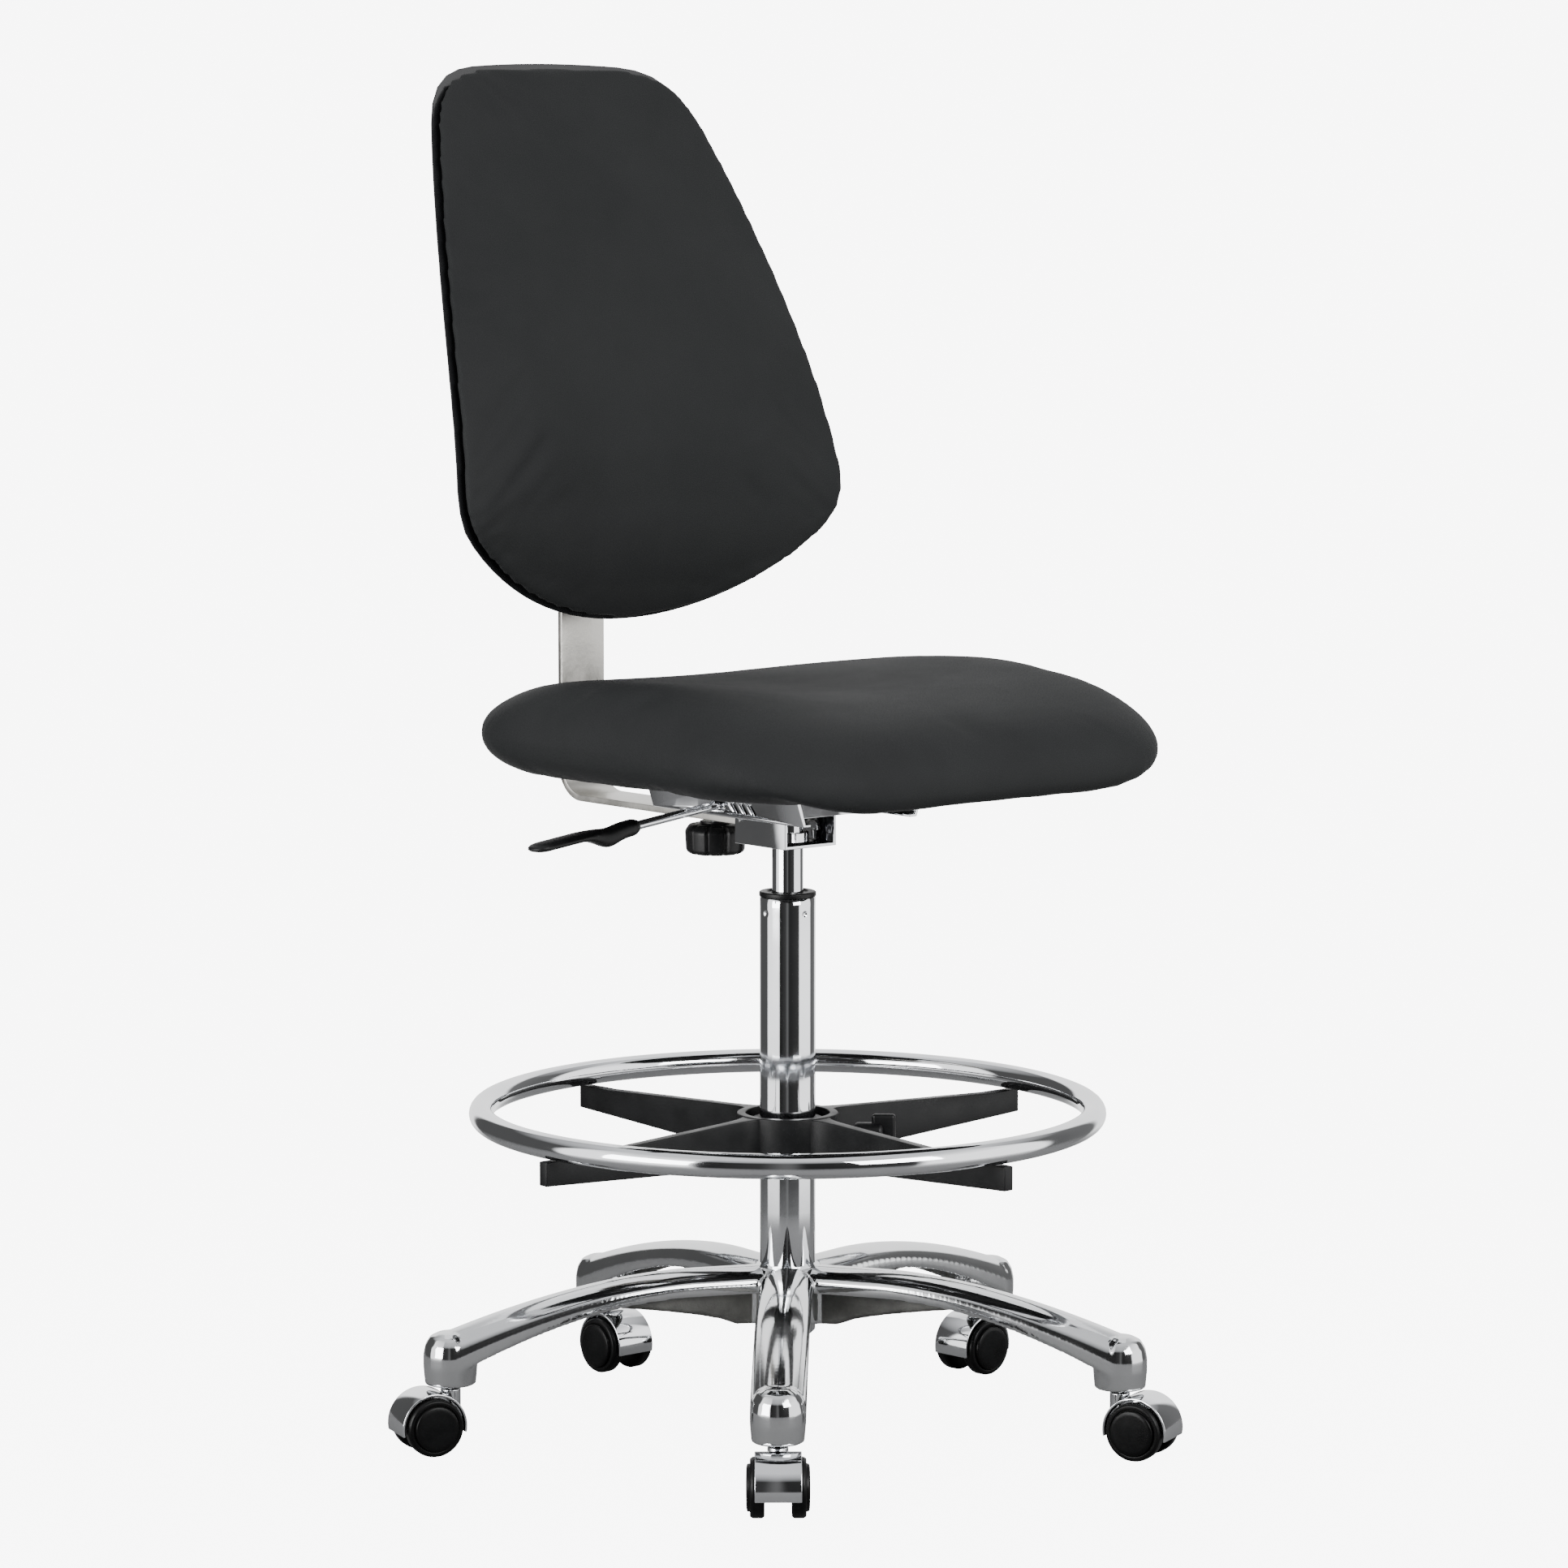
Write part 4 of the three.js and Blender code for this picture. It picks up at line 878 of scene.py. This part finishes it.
def bent(corners, radius, steps=6):
    """A path through corners with each inner corner replaced by a bend."""
    path = [Vector(corners[0])]
    for before, here, after in zip(corners, corners[1:], corners[2:]):
        before, here, after = Vector(before), Vector(here), Vector(after)
        cut = min(radius, (before - here).length * 0.45, (after - here).length * 0.45)
        start = here + (before - here).normalized() * cut
        end = here + (after - here).normalized() * cut
        shares = [step / steps for step in range(steps + 1)]
        path += [start * (1 - t) ** 2 + here * 2 * t * (1 - t) + end * t * t for t in shares]
    path.append(Vector(corners[-1]))
    return path


lever_corners = [
    (axis_x + 0.001, axis_y, lever_height), (axis_x - 0.006, axis_y, lever_height),
    (axis_x - 0.018, axis_y + 0.012, lever_height), (axis_x - 0.050, axis_y + 0.012, lever_height - 0.001),
    (axis_x - 0.186, axis_y, lever_height - 0.0148),
]
lever_rod = bmesh.new()
rod_along(lever_rod, bent(lever_corners, 0.008), lever_radius)
rod_piece = object_of("height_lever_rod", lever_rod, chrome, sharp=60)
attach(rod_piece, "lever")
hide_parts("height_lever")

paddle = bmesh.new()
sections = []
neck = Vector((axis_x - 0.172, axis_y, lever_height - 0.0135))
tip = Vector((paddle_low.x, axis_y, paddle_low.z + 0.0065))
along = tip - neck
paddle_steps = 36
for step in range(paddle_steps + 1):
    t = step / paddle_steps
    closing = math.sqrt(max(0.0, 1 - ((t - 0.88) / 0.12) ** 2)) if t > 0.88 else 1.0
    opening = min(1.0, 0.70 + t / 0.04 * 0.30)
    blade = min(1.0, max(0.0, (t - 0.30) / 0.28))
    blade = blade * blade * (3 - 2 * blade)
    ends = max(closing, 0.05) * opening
    swell = math.exp(-(((t - 0.26) / 0.10) ** 2))
    finger_stop = math.exp(-(((t - 0.28) / 0.10) ** 2))
    wide = (0.0078 + 0.0047 * blade) * ends
    thick = (0.0074 + 0.0012 * swell - 0.0036 * blade) * ends
    centre = neck + along * t + Vector((0, 0, 0.0035 * blade - 0.0030 * finger_stop))
    section = []
    for k in range(28):
        a = 2 * math.pi * k / 28
        c, q = math.cos(a), math.sin(a)
        y = wide * math.copysign(abs(c) ** 0.75, c)
        z = thick * math.copysign(abs(q) ** 0.75, q)
        section.append(centre + Vector((0, y, z)))
    sections.append(section)
lofted(paddle, sections)
paddle_piece = object_of("lever_paddle", paddle, black_plastic, sharp=60)
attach(paddle_piece, "lever")
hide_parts("lever_handle")

# ---------------------------------------------------------------------------------------------
# Back bar and tilt knob. The bar is one flat steel strip, nickelled and brushed, bent up behind
# the seat; the ribbed knob under it is turned to set the tilt.
satin_nickel = finish(
    "satin_nickel", (0.47, 0.46, 0.43), (0.58, 0.565, 0.53), 1.0, (0.27, 0.4), 30, (300, 0.2, 0.0004)
)
bar_low, bar_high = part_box("back_bar")
bar_thick = 0.006
bend = 0.027
bar_face = bar_high.y
bend_place = (bar_face - bar_thick - bend, bar_low.z + bar_thick + bend)
bar_start = axis_y + 0.0196
pivot_y = axis_y + 0.026
pivot_z = 0.557
strip = bmesh.new()
outline = [(bar_start, bar_low.z)]
outline += arc(bend_place, bend + bar_thick, -90, 0, 20)
outline += [(bar_face, bar_high.z - 0.004), (bar_face - 0.001, bar_high.z)]
outline += [(bar_face - bar_thick + 0.001, bar_high.z), (bar_face - bar_thick, bar_high.z - 0.004)]
outline += arc(bend_place, bend, 0, -90, 20)
outline += [(bar_start, bar_low.z + bar_thick)]
plate(strip, outline, bar_low.x, bar_high.x)
softened(strip, 0.0007, 3, 40)
bmesh.ops.recalc_face_normals(strip, faces=strip.faces)
eye = bmesh.new()
eye_wall = [(0.0044, bar_low.x), (0.0098, bar_low.x), (0.0098, bar_high.x), (0.0044, bar_high.x)]
turned(eye, rounded(eye_wall, 0.0006, 2), 48, (0, pivot_y, pivot_z), (1, 0, 0))
joined(strip, eye)
bar_piece = object_of("back_bar_strip", strip, satin_nickel)
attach(bar_piece, "back_arm")
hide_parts("back_bar")

tilt_low, tilt_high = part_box("tilt_knob")
tilt_centre = (tilt_low + tilt_high) / 2
tilt_radius = (tilt_high.x - tilt_low.x) / 2
grip_ribs = 10
groove_depth = 0.0026
tilt = bmesh.new()
profile = rounded(
    [(0, tilt_low.z), (tilt_radius - 0.005, tilt_low.z), (tilt_radius - 0.001, tilt_low.z + 0.003),
     (tilt_radius, tilt_high.z - 0.009), (tilt_radius - 0.004, tilt_high.z - 0.003),
     (0.014, tilt_high.z - 0.002), (0.014, tilt_high.z), (0, tilt_high.z)],
    0.002, 5,
)
turned(tilt, profile, 160, (tilt_centre.x, tilt_centre.y, 0))
bmesh.ops.subdivide_edges(tilt, edges=[e for e in tilt.edges if e.calc_length() > 0.006], cuts=3)
for vert in tilt.verts:
    out = vert.co - tilt_centre
    spread = math.hypot(out.x, out.y)
    if spread > tilt_radius * 0.72:
        wave = math.cos(grip_ribs * math.atan2(out.y, out.x))
        groove = groove_depth * max(0.0, wave - 0.45) / 0.55
        vert.co.x -= out.x / spread * groove
        vert.co.y -= out.y / spread * groove
tilt_piece = object_of("tilt_knob_moulding", tilt, black_plastic, sharp=45)
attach(tilt_piece, "tilt_lock")
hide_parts("tilt_knob")

# ---------------------------------------------------------------------------------------------
# Seat. Moulded foam on a board, under one piece of black vinyl drawn tight over it and stapled
# below: high at the rear, dished in the middle, and rolled well down at the front.


def vinyl_finish():
    """Soft black vinyl: a faint pebble and crease in its face, and an uneven dull sheen."""
    material = bpy.data.materials.new("black_vinyl")
    material.use_nodes = True
    nodes = material.node_tree.nodes
    links = material.node_tree.links
    shader = nodes["Principled BSDF"]
    shader.inputs["Specular IOR Level"].default_value = 0.05
    marks = nodes.new("ShaderNodeGroup")
    marks.node_tree = handling_marks
    marks.inputs["Scale"].default_value = 7
    marks.inputs["Low"].default_value = 0.60
    marks.inputs["High"].default_value = 0.70
    where = nodes.new("ShaderNodeTexCoord")
    pebble = nodes.new("ShaderNodeTexVoronoi")
    pebble.feature = "F1"
    pebble.inputs["Scale"].default_value = 620
    pebble.inputs["Randomness"].default_value = 0.9
    crease = nodes.new("ShaderNodeTexNoise")
    crease.inputs["Scale"].default_value = 1400
    crease.inputs["Detail"].default_value = 2
    weave = nodes.new("ShaderNodeMixRGB")
    weave.inputs["Fac"].default_value = 0.3
    relief = nodes.new("ShaderNodeBump")
    relief.inputs["Strength"].default_value = 0.35
    relief.inputs["Distance"].default_value = 0.0003
    tone = nodes.new("ShaderNodeValToRGB")
    tone.color_ramp.elements[0].position = 0.3
    tone.color_ramp.elements[0].color = (0.0160, 0.0168, 0.0173, 1)
    tone.color_ramp.elements[1].position = 0.7
    tone.color_ramp.elements[1].color = (0.0210, 0.0218, 0.0223, 1)
    links.new(where.outputs["Object"], pebble.inputs["Vector"])
    links.new(where.outputs["Object"], crease.inputs["Vector"])
    links.new(pebble.outputs["Distance"], weave.inputs["Color1"])
    links.new(crease.outputs["Fac"], weave.inputs["Color2"])
    links.new(weave.outputs["Color"], relief.inputs["Height"])
    links.new(relief.outputs["Normal"], shader.inputs["Normal"])
    links.new(marks.outputs["Cloud"], tone.inputs["Fac"])
    links.new(tone.outputs["Color"], shader.inputs["Base Color"])
    links.new(marks.outputs["Roughness"], shader.inputs["Roughness"])
    return material


black_vinyl = vinyl_finish()


def padded_form(mesh, reach, rise_above, rise_below, place, around=96, across=56):
    """A rounded pad on a flat outline: a sphere stretched to reach the outline, with each of its two
    sides as high as its rise says for a share of the way out, and each point then put in place."""
    bmesh.ops.create_uvsphere(mesh, u_segments=around, v_segments=across, radius=1)
    for vert in mesh.verts:
        flat = min(1.0, math.hypot(vert.co.x, vert.co.y))
        angle = math.atan2(vert.co.y, vert.co.x)
        share = math.sin(flat * math.pi / 2) ** 0.85 if flat > 1e-6 else 0.0
        spread = share * reach(angle)
        rise = 0.0
        if flat < 0.99999:
            rise = rise_above(share) if vert.co.z > 0 else -rise_below(share)
        vert.co = Vector(place(spread * math.cos(angle), spread * math.sin(angle), rise))
    bmesh.ops.recalc_face_normals(mesh, faces=mesh.faces)


def stuffed(piece, pressure, cap, voxel, held=lambda point: False):
    """Swells a pad as foam under drawn vinyl does, with no point moved further than the cap, and
    with the points that are held to the board behind left where they are."""
    even = piece.modifiers.new("even", "REMESH")
    even.mode = "VOXEL"
    even.voxel_size = voxel
    apply_modifiers(piece)
    rest = [v.co.copy() for v in piece.data.vertices]
    fixed = piece.vertex_groups.new(name="fixed")
    fixed.add([v.index for v in piece.data.vertices if held(v.co)], 1.0, "ADD")
    cloth = piece.modifiers.new("cloth", "CLOTH")
    cloth.settings.vertex_group_mass = "fixed"
    cloth.settings.use_pressure = True
    cloth.settings.uniform_pressure_force = pressure
    cloth.settings.effector_weights.gravity = 0
    cloth.settings.tension_stiffness = 25
    cloth.settings.compression_stiffness = 25
    cloth.point_cache.frame_start = 1
    cloth.point_cache.frame_end = 20
    for step in range(1, 21):
        bpy.context.scene.frame_set(step)
    apply_modifiers(piece)
    for vert, start in zip(piece.data.vertices, rest):
        moved = vert.co - start
        if moved.length > cap:
            vert.co = start + moved.normalized() * cap
    bpy.context.scene.frame_set(1)
    for face in piece.data.polygons:
        face.use_smooth = True
    ease = piece.modifiers.new("ease", "SMOOTH")
    ease.factor = 0.5
    ease.iterations = 4
    fine = piece.modifiers.new("fine", "SUBSURF")
    fine.levels = 1
    fine.render_levels = 1
    apply_modifiers(piece)
    return piece


seat_low, seat_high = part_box("seat_cushion")
seat_centre = (seat_low + seat_high) / 2
seat_drawn_in = -0.004
seat_half_x = (seat_high.x - seat_low.x) / 2 - seat_drawn_in
seat_half_y = (seat_high.y - seat_low.y) / 2 - seat_drawn_in
seat_corner = 0.120
seat_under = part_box("seat_board")[1].z + 0.0006
seat_thick = 0.079
seat_rim = 0.030


def seat_reach(angle):
    """How far the seat's outline, a rectangle with wide round corners, lies from its centre."""
    c, s = abs(math.cos(angle)), abs(math.sin(angle))
    inner_x, inner_y = seat_half_x - seat_corner, seat_half_y - seat_corner
    if seat_half_x * s <= inner_y * c:
        return seat_half_x / c
    if seat_half_y * c <= inner_x * s:
        return seat_half_y / s
    along = inner_x * c + inner_y * s
    return along + math.sqrt(along * along - inner_x**2 - inner_y**2 + seat_corner**2)


def seat_place(x, y, height):
    side = abs(x) / seat_half_x
    front = max(0.0, (0.020 - y) / (0.020 + seat_half_y))
    rear = max(0.0, y / seat_half_y)
    rim = seat_under + seat_rim - 0.024 * front**2
    if height > 0:
        dish = 0.014 * math.exp(-((x / 0.14) ** 2) - ((y - 0.02) / 0.13) ** 2)
        sides = 0.006 * side**2 * math.exp(-((y / 0.11) ** 2))
        falls = 0.022 * rear**2 + 0.038 * front**2
        z = rim + height * (seat_under + seat_thick - dish + sides - falls - rim)
    else:
        edge = min(1.0, max(0.0, (front - 0.8) / 0.2))
        z = rim - height * (seat_under - 0.022 * edge**2 * (3 - 2 * edge) - rim)
    return (seat_centre.x + x, seat_centre.y + y, z)


seat_form = bmesh.new()
padded_form(
    seat_form, seat_reach, lambda t: (1 - max(0.0, (t - 0.62) / 0.38) ** 3.0) ** 0.42,
    lambda t: (1 - max(0.0, (t - 0.80) / 0.20) ** 3.0) ** 0.5, seat_place,
)
seat_piece = object_of("seat_upholstery", seat_form, black_vinyl, sharp=80)
stuffed(seat_piece, 4, 0.005, 0.006)
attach(seat_piece, "seat")
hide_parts("seat_cushion")

board_cloth = finish(
    "board_cloth", (0.010, 0.010, 0.010), (0.022, 0.022, 0.022), 0.0, (0.75, 0.9), 30, (1200, 0.6, 0.0004)
)
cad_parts["seat_board"].data.materials.clear()
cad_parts["seat_board"].data.materials.append(board_cloth)

# ---------------------------------------------------------------------------------------------
# Back. A crowned foam pad under black vinyl, pressed into a moulded shell whose edge shows all
# round it; behind the shell a moulded guide slides on the bar.
shell_low, shell_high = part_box("back_shell")
back_centre_z = (shell_low.z + shell_high.z) / 2
back_half = (shell_high.x - shell_low.x) / 2
lumbar_z = 0.815
lumbar_y = axis_y + 0.214


def back_middle(x, z):
    up = z - lumbar_z
    lean = 0.462 * up * up / (up + 0.150) if up > 0 else 2.2 * up * up
    return lumbar_y + lean - 0.026 * ((x - axis_x) / 0.222) ** 2


def back_outline(inset):
    """The back's right-hand edge from the bottom to the top, as three soft curves."""
    half = back_half - inset
    low = shell_low.z + inset
    top = shell_high.z - inset
    curves = [
        ((0, low), (half * 0.5, low), (half * 0.86, low + 0.058), (half - 0.008, low + 0.088)),
        ((half - 0.008, low + 0.088), (half + 0.003, low + 0.104), (half + 0.002, low + 0.128),
         (half - 0.002, low + 0.150)),
        ((half - 0.002, low + 0.150), (half - 0.018, low + 0.290), (half * 0.78, top - 0.110),
         (half * 0.70, top - 0.056)),
        ((half * 0.70, top - 0.056), (half * 0.64, top - 0.014), (half * 0.52, top - 0.006),
         (half * 0.40, top - 0.003)),
        ((half * 0.40, top - 0.003), (half * 0.27, top - 0.001), (half * 0.13, top), (0, top)),
    ]
    points = []
    for a, b, c, d in curves:
        for step in range(14):
            t = step / 14
            weights = ((1 - t) ** 3, 3 * t * (1 - t) ** 2, 3 * t * t * (1 - t), t ** 3)
            points.append(tuple(sum(w * p[k] for w, p in zip(weights, (a, b, c, d))) for k in range(2)))
    points.append((0, top))
    return points + [(-x, z) for x, z in reversed(points[1:-1])]


def reach_of(outline, centre):
    """How far an outline lies from its centre, at any angle."""
    polar = sorted((math.atan2(z - centre, x), math.hypot(x, z - centre)) for x, z in outline)
    polar = [(polar[-1][0] - 2 * math.pi, polar[-1][1])] + polar + [(polar[0][0] + 2 * math.pi, polar[0][1])]

    def reach(angle):
        for (a, near), (b, far) in zip(polar, polar[1:]):
            if a <= angle <= b:
                return near + (far - near) * (angle - a) / max(b - a, 1e-9)
        return polar[0][1]

    return reach


pad_form = bmesh.new()
pad_drawn_in = 0.0015
padded_form(
    pad_form, reach_of(back_outline(pad_drawn_in), back_centre_z),
    lambda t: (1 - t**3.4) ** 0.5, lambda t: (1 - t**14) ** 0.5,
    lambda x, z, h: (
        axis_x + x,
        back_middle(axis_x + x, z + back_centre_z) - 0.0068 - (0.0295 if h > 0 else 0.0065) * h,
        z + back_centre_z,
    ),
)
pad_piece = object_of("back_upholstery", pad_form, black_vinyl, sharp=80)
stuffed(
    pad_piece, 3, 0.005, 0.005,
    lambda point: point.y > back_middle(point.x, point.z) - 0.0090,
)
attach(pad_piece, "backrest")
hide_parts("back_pad")

shell_plastic = finish(
    "shell_plastic", (0.007, 0.007, 0.008), (0.013, 0.014, 0.015), 0.0, (0.2, 0.34), 22,
    (700, 0.15, 0.0003), coat=0.25,
)
shell_form = bmesh.new()
padded_form(
    shell_form, reach_of(back_outline(0.0), back_centre_z), lambda t: 1 - t**9, lambda t: (1 - t**7) ** 0.5,
    lambda x, z, h: (
        axis_x + x,
        back_middle(axis_x + x, z + back_centre_z) - (0.003 if h > 0 else 0.0195) * h,
        z + back_centre_z,
    ),
)
shell_piece = object_of("back_shell_moulding", shell_form, shell_plastic, sharp=55)
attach(shell_piece, "backrest")
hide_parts("back_shell")

guide_low, guide_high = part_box("back_guide")
guide = bmesh.new()
outline = [(guide_high.y, guide_low.z)]
outline += [(guide_high.y, guide_high.z - 0.045)]
outline += arc((guide_high.y - 0.030, guide_high.z - 0.040), 0.030, 8, 82, 8)
top_y = back_middle(axis_x, guide_high.z) + 0.0225
outline += [(top_y, guide_high.z - 0.008)]
for step in range(1, 9):
    z = guide_high.z - 0.008 + (guide_low.z - guide_high.z + 0.008) * step / 8
    outline.append((back_middle(axis_x, z) + 0.0225, z))
plate(guide, outline, guide_low.x, guide_high.x)
softened(guide, 0.0035, 3, 40)
guide_piece = object_of("back_guide_moulding", guide, black_plastic)
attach(guide_piece, "backrest")
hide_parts("back_guide")
